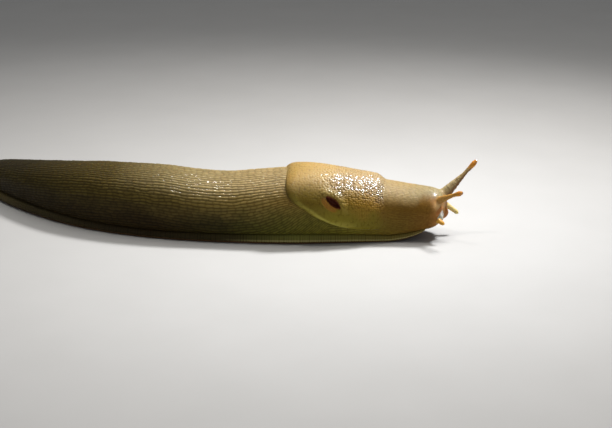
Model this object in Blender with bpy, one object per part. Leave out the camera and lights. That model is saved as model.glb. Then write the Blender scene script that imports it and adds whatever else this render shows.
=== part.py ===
# A banana slug, life size: a large forest slug that crawls with its tail swung away
# and its head turned a little and lifted off the ground.
#
# The frame: metres, +Z up, the ground at z = 0, the head towards +X, its right side
# towards -Y, and the origin under the middle of the whole animal.
# Distances along the body are measured on the spine from the tip of the tail.

import math

import bmesh
import bpy
import numpy as np
from mathutils import Vector

MM = 0.001
BODY_LENGTH = 204 * MM
GAP = 0.3 * MM

# Where the tip of the tail lies, so that the origin is under the middle of the body.
TAIL_TIP = (-96.92 * MM, 38.52 * MM)

# The way the spine points, in degrees from +X towards +Y, along the body.
HEADING = (
    (0 * MM, -40.0),
    (31 * MM, -45.0),
    (56 * MM, -38.0),
    (96 * MM, -17.0),
    (131 * MM, -5.0),
    (156 * MM, 1.0),
    (176 * MM, -3.0),
    (194 * MM, -12.0),
    (204 * MM, -20.0),
)

# Half the width of the flesh above the foot, along the body.
HALF_WIDTH = (
    (0 * MM, 0.7 * MM),
    (6 * MM, 3.3 * MM),
    (16 * MM, 6.0 * MM),
    (36 * MM, 8.8 * MM),
    (56 * MM, 10.6 * MM),
    (78 * MM, 12.0 * MM),
    (110 * MM, 12.7 * MM),
    (130 * MM, 12.5 * MM),
    (152 * MM, 13.0 * MM),
    (168 * MM, 12.0 * MM),
    (182 * MM, 9.9 * MM),
    (196 * MM, 8.2 * MM),
    (204 * MM, 7.2 * MM),
)

# The height of the back above the ground. The back dips just behind the mantle.
BACK_HEIGHT = (
    (0 * MM, 2.4 * MM),
    (6 * MM, 6.2 * MM),
    (16 * MM, 10.0 * MM),
    (36 * MM, 14.6 * MM),
    (56 * MM, 18.4 * MM),
    (78 * MM, 21.8 * MM),
    (100 * MM, 22.9 * MM),
    (128 * MM, 22.0 * MM),
    (142 * MM, 23.4 * MM),
    (156 * MM, 23.8 * MM),
    (170 * MM, 21.8 * MM),
    (184 * MM, 19.5 * MM),
    (196 * MM, 18.1 * MM),
    (204 * MM, 17.5 * MM),
)

# Half the width of the foot at the outermost edge of its fringe.
FOOT_HALF_WIDTH = (
    (0 * MM, 1.2 * MM),
    (6 * MM, 4.6 * MM),
    (16 * MM, 7.4 * MM),
    (36 * MM, 9.8 * MM),
    (60 * MM, 10.9 * MM),
    (96 * MM, 11.6 * MM),
    (130 * MM, 11.6 * MM),
    (156 * MM, 12.0 * MM),
    (172 * MM, 11.0 * MM),
    (186 * MM, 9.0 * MM),
    (198 * MM, 6.8 * MM),
)

# How far the fringe stands out past the groove above it: a wide skirt on the tail.
FRINGE_REACH = (
    (0 * MM, 0.4 * MM),
    (12 * MM, 1.8 * MM),
    (36 * MM, 1.9 * MM),
    (70 * MM, 1.1 * MM),
    (100 * MM, 0.8 * MM),
    (120 * MM, 0.8 * MM),
    (198 * MM, 0.8 * MM),
)

# The thickness of the foot up to that groove.
FOOT_THICKNESS = (
    (0 * MM, 0.9 * MM),
    (12 * MM, 2.4 * MM),
    (36 * MM, 3.2 * MM),
    (100 * MM, 2.9 * MM),
    (170 * MM, 3.1 * MM),
    (190 * MM, 2.2 * MM),
    (204 * MM, 2.0 * MM),
)

# The head end is lifted off the ground, from this distance on and by this much in front.
LIFT_START = 184 * MM
HEAD_LIFT = 4.2 * MM
LIFT_POWER = 1.4

# How sharply the back is ridged: 1 is round, and the tail has a low keel.
KEEL = (
    (0 * MM, 1.25),
    (40 * MM, 1.15),
    (80 * MM, 1.0),
    (204 * MM, 0.95),
)

# The widest line of the flank, as a share of the height above the foot.
BULGE = (
    (0 * MM, 0.5),
    (160 * MM, 0.5),
    (180 * MM, 0.5),
    (192 * MM, 0.48),
    (204 * MM, 0.38),
)

DOME_SHARE = 0.68            # the share of half the girth that lies above that line
HALF_GIRTH = 30 * MM         # roughly, from the middle of the back to the groove
SNOUT_LENGTH = 7.0 * MM
SNOUT_ROUNDNESS = 3.4
FOOT_FRONT = 198 * MM
FOOT_TOE = 9.0 * MM          # the length over which the front of the foot rounds off
FOOT_CLOSING = 0.98          # how nearly the foot closes to a point in front
TAIL_START = 0.8 * MM
FOOT_START = 0.4 * MM

# Where the flesh is parted, from tail to head.
TAIL_END = 40 * MM
TRUNK_REAR_END = 86 * MM
TRUNK_MID_END = 134 * MM
TRUNK_FRONT_END = 172 * MM
NECK_END = 190 * MM
FOOT_REAR_END = 70 * MM
FOOT_MID_END = 136 * MM

# The mantle: a shield of loose skin over the front third of the back.
MANTLE_REAR = 147.5 * MM
MANTLE_FRONT = 183.5 * MM
MANTLE_REACH = 0.86             # how far round it comes, as a share of half the girth
MANTLE_SWEEP = 62 * MM          # how far forward its hind edge swings down the flank
MANTLE_SWEEP_POWER = 6
MANTLE_BROW = 4 * MM            # how far forward its front edge swings down the flank
MANTLE_THICKNESS_REAR = 1.5 * MM
MANTLE_THICKNESS_FRONT = 0.9 * MM
MANTLE_BROW_THICKNESS = 0.5 * MM   # more of it in front, on top of the back
MANTLE_BROW_WIDTH = 0.33
MANTLE_EDGE_ROUNDING = 2.2 * MM

# The breathing hole: an almond-shaped pit in the right side of the mantle.
HOLE_PLACE = 163.8 * MM
HOLE_GIRTH = -0.575
HOLE_LENGTH = 6.2 * MM
HOLE_WIDTH = 2.3 * MM
HOLE_TILT = -32.0
HOLE_POINT = 0.35        # how pointed its ends are: 0 is an ellipse
HOLE_RIM = 0.5 * MM      # how far its raised border stands up
HOLE_RIM_WIDTH = 0.45    # the width of that border, as a share of the hole's own half width
HOLE_RIM_LONG = 1.25     # where the border's crest runs, in half lengths and half widths
HOLE_RIM_ACROSS = 1.9

# The feelers: where each is rooted on the head, which way it points (its outward and its
# upward share, forward being 1), and its length.
UPPER_ROOT = 201.6 * MM
UPPER_ROOT_SIDE = 4.25 * MM
UPPER_ROOT_HEIGHT = 14.5 * MM
UPPER_LENGTH_LEFT = 16.8 * MM
UPPER_LENGTH_RIGHT = 10.4 * MM
UPPER_BASE_RADIUS_LEFT = 2.1 * MM
UPPER_BASE_RADIUS_RIGHT = 1.4 * MM
UPPER_NECK_RADIUS = 0.68 * MM
UPPER_BULB_RADIUS = 0.90 * MM
UPPER_SAG_LEFT = -0.8 * MM
UPPER_SAG_RIGHT = 0.8 * MM
EYE_LENGTH = 0.55 * MM
EYE_SHARE = 0.74            # the eye's radius, as a share of the bulb's
EYE_SIDES = 14
EYE_RINGS = 5
EYE_CLOSING = 0.93
LOWER_ROOT_LEFT = 202.8 * MM
LOWER_ROOT_RIGHT = 201.0 * MM
LOWER_ROOT_SIDE = 4.8 * MM
LOWER_ROOT_HEIGHT = 8.4 * MM
LOWER_LIFT_LEFT = 2.2 * MM   # the left one is held higher
LOWER_LENGTH_LEFT = 5.8 * MM
LOWER_LENGTH_RIGHT = 4.5 * MM
UPPER_WAY_LEFT = (0.30, 1.12)
UPPER_WAY_RIGHT = (0.15, 0.52)
LOWER_WAY_LEFT = (0.26, -0.67)
LOWER_WAY_RIGHT = (0.15, -0.34)
LOWER_RADIUS = 0.95 * MM
LOWER_TIP_RADIUS = 0.75 * MM
LOWER_ARCH = 0.6 * MM
ROOT_SINKING = 2.5 * MM     # how deep the feelers reach into the head before they are cut

# The lips: two upright folds with the slit of the mouth between them.
LIP_HEIGHT = 5.2 * MM
LIP_CENTRE_HEIGHT = 9.2 * MM
LIP_SPREAD_TOP = 0.8 * MM
LIP_SPREAD_LEFT = 1.7 * MM      # at the bottom
LIP_SPREAD_RIGHT = 3.1 * MM
LIP_RADIUS = 1.0 * MM
LIP_SINKING = 1.0 * MM
LIP_BULGE = 1.6 * MM


def smooth(stops, distance):
    """A smooth curve through the stops, read at one distance or at an array of them."""
    places = np.array([stop[0] for stop in stops])
    values = np.array([stop[1] for stop in stops])
    steps = np.diff(places)
    slopes = np.diff(values) / steps
    tangents = np.empty_like(values)
    tangents[0] = slopes[0]
    tangents[-1] = slopes[-1]
    tangents[1:-1] = (steps[1:] * slopes[:-1] + steps[:-1] * slopes[1:]) / (steps[1:] + steps[:-1])
    held = np.clip(distance, places[0], places[-1])
    index = np.clip(np.searchsorted(places, held) - 1, 0, len(steps) - 1)
    t = (held - places[index]) / steps[index]
    rise = (3 - 2 * t) * t * t
    start_pull = t * (1 - t) ** 2 * steps[index] * tangents[index]
    end_pull = t * t * (t - 1) * steps[index] * tangents[index + 1]
    return values[index] * (1 - rise) + values[index + 1] * rise + start_pull + end_pull


SPINE_STEP = 0.5 * MM
SPINE_PLACES = np.arange(0, BODY_LENGTH + 5 * MM, SPINE_STEP)
SPINE_HEADINGS = np.radians(smooth(HEADING, SPINE_PLACES))
SPINE_X = TAIL_TIP[0] + np.concatenate([[0], np.cumsum(np.cos(SPINE_HEADINGS[1:]))]) * SPINE_STEP
SPINE_Y = TAIL_TIP[1] + np.concatenate([[0], np.cumsum(np.sin(SPINE_HEADINGS[1:]))]) * SPINE_STEP


def on_body(distance, side, height):
    """World points: a distance along the spine, an offset to the left of it, and a height."""
    heading = np.radians(smooth(HEADING, distance))
    x = np.interp(distance, SPINE_PLACES, SPINE_X) - side * np.sin(heading)
    y = np.interp(distance, SPINE_PLACES, SPINE_Y) + side * np.cos(heading)
    return np.stack(np.broadcast_arrays(x, y, height), axis=-1)


def sole_lift(distance):
    """How high the sole is above the ground."""
    along = np.clip((distance - LIFT_START) / (BODY_LENGTH - LIFT_START), 0, 1)
    return HEAD_LIFT * along ** LIFT_POWER


def snout(distance):
    """How much of the full section is left where the head rounds off."""
    along = np.clip((distance - BODY_LENGTH + SNOUT_LENGTH) / SNOUT_LENGTH, 0, 1)
    return (1 - along ** SNOUT_ROUNDNESS) ** (1 / SNOUT_ROUNDNESS)


def flesh(distance, girth, swell=0.0):
    """The skin above the foot. Girth runs from -1 at the right groove over the back to 1."""
    bottom = sole_lift(distance) + smooth(FOOT_THICKNESS, distance) + GAP - swell
    top = smooth(BACK_HEIGHT, distance) + swell
    groove = smooth(FOOT_HALF_WIDTH, distance) - smooth(FRINGE_REACH, distance) + swell
    wide = smooth(HALF_WIDTH, distance) + swell
    keel = smooth(KEEL, distance)
    middle = bottom + smooth(BULGE, distance) * (top - bottom)
    reach = np.abs(girth)
    over = np.clip(1 - reach / DOME_SHARE, 0, 1) * math.pi / 2
    under = np.clip((reach - DOME_SHARE) / (1 - DOME_SHARE), 0, 1) * math.pi / 2
    dome_side = wide * np.cos(over) ** keel
    dome_height = middle + (top - middle) * np.sin(over)
    flank_side = groove + (wide - groove) * np.cos(under)
    flank_height = bottom + (middle - bottom) * (1 - np.sin(under))
    side = np.where(reach < DOME_SHARE, dome_side, flank_side)
    height = np.where(reach < DOME_SHARE, dome_height, flank_height)
    closing = snout(distance)
    height = middle + (height - middle) * closing
    return on_body(distance, np.sign(girth) * side * closing, height)


def normals(surface, distance, girth):
    """Unit normals of a surface function, pointing out of the body."""
    ahead = surface(distance + 0.05 * MM, girth) - surface(distance - 0.05 * MM, girth)
    around = surface(distance, girth + 0.002) - surface(distance, girth - 0.002)
    outward = np.cross(ahead, around)
    return outward / np.linalg.norm(outward, axis=-1, keepdims=True)


# The slug's pieces and its colours

def material(name, colour, roughness):
    paint = bpy.data.materials.new(name)
    paint.use_nodes = True
    shader = paint.node_tree.nodes["Principled BSDF"]
    shader.inputs["Base Color"].default_value = (*colour, 1.0)
    shader.inputs["Roughness"].default_value = roughness
    shader.inputs["Metallic"].default_value = 0.0
    return paint


def piece(name, points, faces, paint):
    """One closed body, its faces turned outwards, in the slug's collection."""
    mesh = bpy.data.meshes.new(name)
    mesh.from_pydata([tuple(point) for point in points], [], faces)
    work = bmesh.new()
    work.from_mesh(mesh)
    bmesh.ops.remove_doubles(work, verts=work.verts, dist=0.001 * MM)
    bmesh.ops.recalc_face_normals(work, faces=work.faces)
    work.to_mesh(mesh)
    work.free()
    mesh.shade_smooth()
    mesh.materials.append(paint)
    body = bpy.data.objects.new(name, mesh)
    bpy.data.collections["banana_slug"].objects.link(body)
    return body


def loft(name, rings, paint):
    """A closed body through rings of equal length, with a flat cap on either end."""
    count = len(rings[0])
    faces = []
    for row in range(len(rings) - 1):
        for column in range(count):
            following = (column + 1) % count
            near = row * count
            far = near + count
            faces.append((near + column, near + following, far + following, far + column))
    faces.append(tuple(range(count)))
    faces.append(tuple(range((len(rings) - 1) * count, len(rings) * count)))
    return piece(name, np.concatenate(rings), faces, paint)


def cut(body, cutter, keep_cutter=False):
    """Takes the cutter's shape out of a body and keeps the body's largest closed surface."""
    difference = body.modifiers.new("cut", "BOOLEAN")
    difference.operation = "DIFFERENCE"
    difference.solver = "EXACT"
    difference.object = cutter
    depsgraph = bpy.context.evaluated_depsgraph_get()
    result = bpy.data.meshes.new_from_object(body.evaluated_get(depsgraph))
    body.modifiers.clear()
    body.data = result
    keep_largest(body)
    if not keep_cutter:
        bpy.data.objects.remove(cutter)


def keep_largest(body):
    """Removes the scraps that a cut leaves beside the body."""
    work = bmesh.new()
    work.from_mesh(body.data)
    bmesh.ops.remove_doubles(work, verts=work.verts, dist=0.002 * MM)
    unseen = set(work.faces)
    shells = []
    while unseen:
        front = [unseen.pop()]
        shell = list(front)
        while front:
            face = front.pop()
            for edge in face.edges:
                for neighbour in edge.link_faces:
                    if neighbour in unseen:
                        unseen.remove(neighbour)
                        front.append(neighbour)
                        shell.append(neighbour)
        shells.append(shell)
    largest = max(shells, key=lambda shell: sum(face.calc_area() for face in shell))
    scraps = [face for shell in shells if shell is not largest for face in shell]
    bmesh.ops.delete(work, geom=scraps, context="FACES")
    loose = [vert for vert in work.verts if not vert.link_faces]
    bmesh.ops.delete(work, geom=loose, context="VERTS")
    work.to_mesh(body.data)
    work.free()


def spaced(start, end, step):
    return np.linspace(start, end, max(2, round((end - start) / step) + 1))


GIRTH_STEPS = 32
RING_STEP = 4.0 * MM
FRINGE_STEPS = 7
HEAD_RINGS = 12
HEAD_CLOSING = 0.985      # how nearly the head's last ring closes to a point
MANTLE_ROWS = 35
MANTLE_COLUMNS = 23


def flesh_length(name, start, end, paint):
    """A length of head, neck or trunk, flat underneath where it sits on the foot."""
    girths = np.linspace(-1, 1, GIRTH_STEPS)
    rings = [flesh(distance, girths) for distance in spaced(start, end, RING_STEP)]
    return loft(name, rings, paint)


def head(paint, name="head", swell=0.0, start=NECK_END + GAP / 2):
    """The head rounds off to the front, so its rings crowd together there."""
    girths = np.linspace(-1, 1, GIRTH_STEPS)
    snout_start = BODY_LENGTH - SNOUT_LENGTH
    turns = np.linspace(0, HEAD_CLOSING, HEAD_RINGS) * math.pi / 2
    rounded = snout_start + SNOUT_LENGTH * np.sin(turns[1:])
    distances = np.concatenate([spaced(start, snout_start, RING_STEP / 2), rounded])
    rings = [flesh(distance, girths, swell) for distance in distances]
    return loft(name, rings, paint)


def foot_ring(distance):
    """The foot from the flat sole round the fringe to the groove, and back on the left."""
    lift = sole_lift(distance)
    thick = smooth(FOOT_THICKNESS, distance)
    toe = np.clip((distance - FOOT_FRONT + FOOT_TOE) / FOOT_TOE, 0, 1)
    rounding = math.sqrt(1 - FOOT_CLOSING * toe ** 2)
    wide = smooth(FOOT_HALF_WIDTH, distance) * rounding
    reach = min(smooth(FRINGE_REACH, distance), 0.8 * wide)
    turns = np.linspace(-math.pi / 2, math.pi / 2, FRINGE_STEPS)
    side = wide - reach + reach * np.cos(turns)
    height = lift + thick * (1 + np.sin(turns)) / 2
    sides = np.concatenate([-side, side[::-1]])
    heights = np.concatenate([height, height[::-1]])
    return on_body(distance, sides, heights)


def foot_length(name, start, end, paint):
    rings = [foot_ring(distance) for distance in spaced(start, end, RING_STEP)]
    return loft(name, rings, paint)


def mantle_skin(distance, girth):
    """The flesh under the mantle, pushed out by the gap that parts the two."""
    return flesh(distance, girth) + GAP * normals(flesh, distance, girth)


def mantle(paint):
    """The shield: thick along its hind edge, thin in front, with a rounded margin all round."""
    across = np.sin(np.linspace(-1, 1, MANTLE_ROWS) * math.pi / 2)
    along = (1 - np.cos(np.linspace(0, math.pi, MANTLE_COLUMNS))) / 2
    girth = np.repeat((across * MANTLE_REACH)[:, None], MANTLE_COLUMNS, axis=1)
    rear = MANTLE_REAR + MANTLE_SWEEP * np.abs(girth) ** MANTLE_SWEEP_POWER
    front = MANTLE_FRONT + MANTLE_BROW * np.abs(girth) ** 2
    distance = rear + (front - rear) * along[None, :]
    inner = mantle_skin(distance, girth)
    outward = normals(flesh, distance, girth)
    from_rear = (distance - rear) / (MANTLE_EDGE_ROUNDING * (1 + 1.5 * np.abs(girth) ** 3))
    from_front = (front - distance) / (2.5 * MANTLE_EDGE_ROUNDING)
    from_below = (MANTLE_REACH - np.abs(girth)) * HALF_GIRTH / MANTLE_EDGE_ROUNDING
    margin = 1.0
    for depth in (from_rear, from_front, from_below):
        margin = margin * np.sqrt(1 - (1 - np.clip(depth, 0, 1)) ** 2)
    share = (distance - rear) / (front - rear)
    brow = MANTLE_BROW_THICKNESS * np.exp(-(girth / MANTLE_BROW_WIDTH) ** 2)
    thickness = (MANTLE_THICKNESS_REAR * (1 - share) + (MANTLE_THICKNESS_FRONT + brow) * share) * margin
    thickness = thickness + HOLE_RIM * margin * hole_border(inner)
    outer = inner + outward * thickness[..., None]
    return closed_sheet("mantle", inner, outer, paint)


def closed_sheet(name, inner, outer, paint):
    """A body between two grids that meet along their margins."""
    rows, columns, _ = inner.shape
    count = rows * columns
    faces = []
    for row in range(rows - 1):
        for column in range(columns - 1):
            corner = row * columns + column
            quad = (corner, corner + 1, corner + columns + 1, corner + columns)
            faces.append(quad)
            faces.append(tuple(count + index for index in reversed(quad)))
    points = np.concatenate([inner.reshape(-1, 3), outer.reshape(-1, 3)])
    return piece(name, points, faces, paint)


def hole_axes():
    """The middle of the breathing hole, its long and short axes, and the way out of it."""
    centre = mantle_skin(HOLE_PLACE, HOLE_GIRTH)
    outward = normals(flesh, HOLE_PLACE, HOLE_GIRTH)
    forward = flesh(HOLE_PLACE + MM, HOLE_GIRTH) - flesh(HOLE_PLACE - MM, HOLE_GIRTH)
    forward = forward / np.linalg.norm(forward)
    upward = np.cross(outward, forward)
    tilt = math.radians(HOLE_TILT)
    long_axis = forward * math.cos(tilt) + upward * math.sin(tilt)
    return centre, long_axis, np.cross(outward, long_axis), outward


def hole_border(points):
    """1 on the raised border round the hole, falling to 0 away from it."""
    centre, long_axis, short_axis, outward = hole_axes()
    along = (points - centre) @ long_axis / (HOLE_LENGTH / 2)
    across = (points - centre) @ short_axis / (HOLE_WIDTH / 2)
    from_middle = np.sqrt((along / HOLE_RIM_LONG) ** 2 + (across / HOLE_RIM_ACROSS) ** 2)
    return np.exp(-((from_middle - 1) / HOLE_RIM_WIDTH) ** 2)


def breathing_hole(shield):
    """Cuts the almond opening: two arcs that meet in points, right through the mantle."""
    centre, long_axis, short_axis, outward = hole_axes()
    turns = np.linspace(0, 2 * math.pi, 24, endpoint=False)
    almond = np.sin(turns) * np.abs(np.sin(turns)) ** HOLE_POINT
    along = np.cos(turns)[:, None] * HOLE_LENGTH / 2 * long_axis
    across = almond[:, None] * HOLE_WIDTH / 2 * short_axis
    rings = [centre + along + across + outward * depth for depth in (-2 * MM, 4 * MM)]
    cutter = loft("breathing_hole_cutter", rings, shield.data.materials[0])
    cut(shield, cutter)
    shield.data.set_sharp_from_angle(angle=math.radians(40))


def circle(centre, across, upward, radius, sides):
    """A ring of points in the plane of two directions."""
    turns = np.linspace(0, 2 * math.pi, sides, endpoint=False)
    return np.array([centre + radius * (across * math.cos(t) + upward * math.sin(t)) for t in turns])


def feeler(name, root, tip, bend, radii, paint, sides=14, rings=14, facing=(0, 0, 1)):
    """A tapered stalk along a gentle bend. Radii are stops along its length."""
    root = Vector(root)
    tip = Vector(tip)
    knee = (root + tip) / 2 + Vector(bend)
    stalk = []
    for share in np.linspace(0, 1, rings):
        centre = root * (1 - share) ** 2 + knee * 2 * share * (1 - share) + tip * share ** 2
        ahead = ((knee - root) * (1 - share) + (tip - knee) * share).normalized()
        across = ahead.cross(Vector(facing)).normalized()
        upward = across.cross(ahead)
        radius = float(smooth(radii, share))
        stalk.append(circle(centre, across, upward, radius, sides))
    return loft(name, stalk, paint)


def feeler_direction(side, way):
    """A unit vector from its outward and upward share, forward being 1, on the given side."""
    outward, upward = way
    heading = math.radians(HEADING[-1][1])
    forward = Vector((math.cos(heading), math.sin(heading), 0))
    left = Vector((-math.sin(heading), math.cos(heading), 0))
    return (forward + left * side * outward + Vector((0, 0, upward))).normalized()


def upper_tentacle(name, side, length, base_radius, way, sag, paint):
    """The long feeler with its bulb. Gives the stalk, the tip, and the way the tip points."""
    direction = feeler_direction(side, way)
    surface = Vector(on_body(UPPER_ROOT, side * UPPER_ROOT_SIDE, UPPER_ROOT_HEIGHT))
    sunk = surface - direction * ROOT_SINKING
    tip = surface + direction * length
    radii = (
        (0.0, base_radius * 1.15),
        (0.2, base_radius),
        (0.5, (base_radius + UPPER_NECK_RADIUS) / 2),
        (0.8, UPPER_NECK_RADIUS),
        (0.9, UPPER_BULB_RADIUS * 0.95),
        (0.96, UPPER_BULB_RADIUS),
        (1.0, UPPER_BULB_RADIUS * 0.78),
    )
    bend = Vector((0, 0, sag))
    stalk = feeler(name, sunk, tip, bend, radii, paint)
    return stalk, tip, (tip - (sunk + tip) / 2 - bend).normalized()


def eye(name, tip, ahead, paint):
    """The dome of the eye, which ends the bulb of an upper tentacle."""
    across = ahead.cross(Vector((0, 0, 1))).normalized()
    upward = across.cross(ahead)
    rings = []
    for turn in np.linspace(0, EYE_CLOSING, EYE_RINGS) * math.pi / 2:
        centre = tip + ahead * (GAP + EYE_LENGTH * math.sin(turn))
        radius = UPPER_BULB_RADIUS * EYE_SHARE * math.cos(turn)
        rings.append(circle(centre, across, upward, radius, EYE_SIDES))
    loft(name, rings, paint)


def lower_tentacle(name, side, length, root, lift, way, paint):
    """The short feeler beside the mouth."""
    direction = feeler_direction(side, way)
    surface = Vector(on_body(root, side * LOWER_ROOT_SIDE, LOWER_ROOT_HEIGHT + lift))
    sunk = surface - direction * ROOT_SINKING
    tip = surface + direction * length
    radii = (
        (0.0, LOWER_RADIUS * 1.3),
        (0.35, LOWER_RADIUS),
        (0.85, LOWER_TIP_RADIUS),
        (0.95, LOWER_TIP_RADIUS * 0.9),
        (1.0, LOWER_TIP_RADIUS * 0.45),
    )
    return feeler(name, sunk, tip, (0, 0, LOWER_ARCH), radii, paint, sides=12, rings=10)


def lip(name, side, spread, paint):
    """An upright fold beside the mouth, bowed forward in the middle."""
    back = BODY_LENGTH - LIP_SINKING
    low = Vector(on_body(back, side * spread, LIP_CENTRE_HEIGHT - LIP_HEIGHT / 2))
    high = Vector(on_body(back, side * LIP_SPREAD_TOP, LIP_CENTRE_HEIGHT + LIP_HEIGHT / 2))
    bulge = Vector(on_body(back + LIP_BULGE, side * spread, LIP_CENTRE_HEIGHT))
    bow = bulge - (low + high) / 2
    radii = (
        (0.0, LIP_RADIUS * 0.45),
        (0.25, LIP_RADIUS),
        (0.75, LIP_RADIUS),
        (1.0, LIP_RADIUS * 0.45),
    )
    forward = feeler_direction(1, (0, 0))
    return feeler(name, high, low, bow, radii, paint, sides=12, rings=10, facing=forward)


# Building the slug

for old in list(bpy.data.objects):
    bpy.data.objects.remove(old)

collection = bpy.data.collections.new("banana_slug")
bpy.context.scene.collection.children.link(collection)

body_skin = material("body_skin", (0.30, 0.22, 0.09), 0.35)
mantle_paint = material("mantle_skin", (0.48, 0.33, 0.12), 0.32)
head_skin = material("head_skin", (0.42, 0.24, 0.09), 0.35)
foot_skin = material("foot_skin", (0.45, 0.36, 0.22), 0.40)
eye_paint = material("eye", (0.03, 0.02, 0.02), 0.12)

half = GAP / 2
flesh_length("tail", TAIL_START, TAIL_END - half, body_skin)
flesh_length("trunk_rear", TAIL_END + half, TRUNK_REAR_END - half, body_skin)
flesh_length("trunk_mid", TRUNK_REAR_END + half, TRUNK_MID_END - half, body_skin)
flesh_length("trunk_front", TRUNK_MID_END + half, TRUNK_FRONT_END - half, body_skin)
flesh_length("neck", TRUNK_FRONT_END + half, NECK_END - half, body_skin)
head(head_skin)
foot_length("foot_rear", FOOT_START, FOOT_REAR_END - half, foot_skin)
foot_length("foot_mid", FOOT_REAR_END + half, FOOT_MID_END - half, foot_skin)
foot_length("foot_front", FOOT_MID_END + half, FOOT_FRONT, foot_skin)

shield = mantle(mantle_paint)
breathing_hole(shield)

stalk_left, tip_left, ahead_left = upper_tentacle(
    "upper_tentacle_left", 1, UPPER_LENGTH_LEFT, UPPER_BASE_RADIUS_LEFT, UPPER_WAY_LEFT, UPPER_SAG_LEFT,
    head_skin,
)
stalk_right, tip_right, ahead_right = upper_tentacle(
    "upper_tentacle_right", -1, UPPER_LENGTH_RIGHT, UPPER_BASE_RADIUS_RIGHT, UPPER_WAY_RIGHT,
    UPPER_SAG_RIGHT, head_skin,
)
eye("eye_left", tip_left, ahead_left, eye_paint)
eye("eye_right", tip_right, ahead_right, eye_paint)
feeler_left = lower_tentacle(
    "lower_tentacle_left", 1, LOWER_LENGTH_LEFT, LOWER_ROOT_LEFT, LOWER_LIFT_LEFT, LOWER_WAY_LEFT,
    head_skin,
)
feeler_right = lower_tentacle(
    "lower_tentacle_right", -1, LOWER_LENGTH_RIGHT, LOWER_ROOT_RIGHT, 0.0, LOWER_WAY_RIGHT, head_skin,
)
lip_left = lip("lip_left", 1, LIP_SPREAD_LEFT, head_skin)
lip_right = lip("lip_right", -1, LIP_SPREAD_RIGHT, head_skin)

# The feelers and lips end on the head's own curve, a gap away from it.
clearance = head(head_skin, "head_clearance", swell=GAP, start=NECK_END - RING_STEP / 2)
for grown in (stalk_left, stalk_right, feeler_left, feeler_right, lip_left, lip_right):
    cut(grown, clearance, keep_cutter=True)
bpy.data.objects.remove(clearance)
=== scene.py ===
import math

import bmesh
import bpy
import numpy as np
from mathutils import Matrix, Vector
from mathutils.kdtree import KDTree


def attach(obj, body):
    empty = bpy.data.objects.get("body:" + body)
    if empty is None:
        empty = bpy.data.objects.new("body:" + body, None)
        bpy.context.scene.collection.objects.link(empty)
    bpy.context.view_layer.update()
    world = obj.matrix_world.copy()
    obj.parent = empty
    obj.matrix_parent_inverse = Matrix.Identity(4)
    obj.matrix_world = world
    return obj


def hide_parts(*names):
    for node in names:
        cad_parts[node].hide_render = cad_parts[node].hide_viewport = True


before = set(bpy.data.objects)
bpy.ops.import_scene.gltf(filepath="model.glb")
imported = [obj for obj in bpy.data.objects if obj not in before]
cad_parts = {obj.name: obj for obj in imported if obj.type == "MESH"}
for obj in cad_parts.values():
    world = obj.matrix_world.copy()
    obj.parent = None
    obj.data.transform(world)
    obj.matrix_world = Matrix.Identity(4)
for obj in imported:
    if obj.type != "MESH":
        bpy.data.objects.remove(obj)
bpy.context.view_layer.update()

# The camera looks at the slug's right side from half a metre away and a little above, through
# a long lens. The tail runs out of the picture on the left.

MM = 0.001
CAMERA_TARGET = Vector((37.38 * MM, -32.98 * MM, 10.0 * MM))
CAMERA_DISTANCE = 506 * MM
CAMERA_ELEVATION = math.radians(20)

scene = bpy.context.scene
lens = bpy.data.cameras.new("camera")
lens.lens = 85
lens.sensor_width = 36
camera = bpy.data.objects.new("camera", lens)
sight = Vector((0, math.cos(CAMERA_ELEVATION), -math.sin(CAMERA_ELEVATION)))
camera.location = CAMERA_TARGET - sight * CAMERA_DISTANCE
camera.rotation_euler = sight.to_track_quat("-Z", "Y").to_euler()
scene.collection.objects.link(camera)
scene.camera = camera
scene.view_settings.view_transform = "Standard"

# The light: three soft panels overhead that cast no glare, two small bright ones that give only
# the glints on the wet skin of the mantle and the trunk, and a dim even room.

LIGHT_AIM = Vector((0.045, -0.02, 0.015))
ABOVE_HEAD = (0.31, 0.13, 0.49)
ABOVE_TRUNK = (-0.079, -0.052, 0.561)
WARM = (1.0, 0.98, 0.95)


def panel(name, place, size, power, colour, spread, glare):
    """A square light that looks at the front half of the slug, for its glare or its light."""
    lamp = bpy.data.lights.new(name, "AREA")
    lamp.shape = "SQUARE"
    lamp.size = size
    lamp.energy = power
    lamp.color = colour
    lamp.spread = math.radians(spread)
    holder = bpy.data.objects.new(name, lamp)
    holder.location = place
    holder.rotation_euler = (LIGHT_AIM - Vector(place)).to_track_quat("-Z", "Y").to_euler()
    holder.visible_glossy = glare
    holder.visible_diffuse = not glare
    scene.collection.objects.link(holder)


panel("sky_panel", (0.10, 0.02, 0.60), 0.34, 0.54, WARM, 110, glare=False)
panel("front_panel", ABOVE_HEAD, 0.09, 0.54, (0.98, 0.97, 0.98), 60, glare=False)
panel("rear_panel", (-0.084, -0.052, 0.561), 0.04, 0.07, WARM, 60, glare=False)
panel("mantle_glints", ABOVE_HEAD, 0.12, 0.50, (0.80, 0.90, 1.0), 30, glare=True)
panel("trunk_glints", ABOVE_TRUNK, 0.04, 0.035, WARM, 30, glare=True)

room = bpy.data.worlds.new("room")
room.use_nodes = True
room.node_tree.nodes["Background"].inputs["Color"].default_value = (0.92, 0.95, 1.0, 1)
room.node_tree.nodes["Background"].inputs["Strength"].default_value = 0.22
scene.world = room

# The floor: a plain pale board, matt and very slightly mottled, so that the contact shadow
# under the foot shows. Its paint is a finish, a material whose sums and products are nodes.


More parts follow.
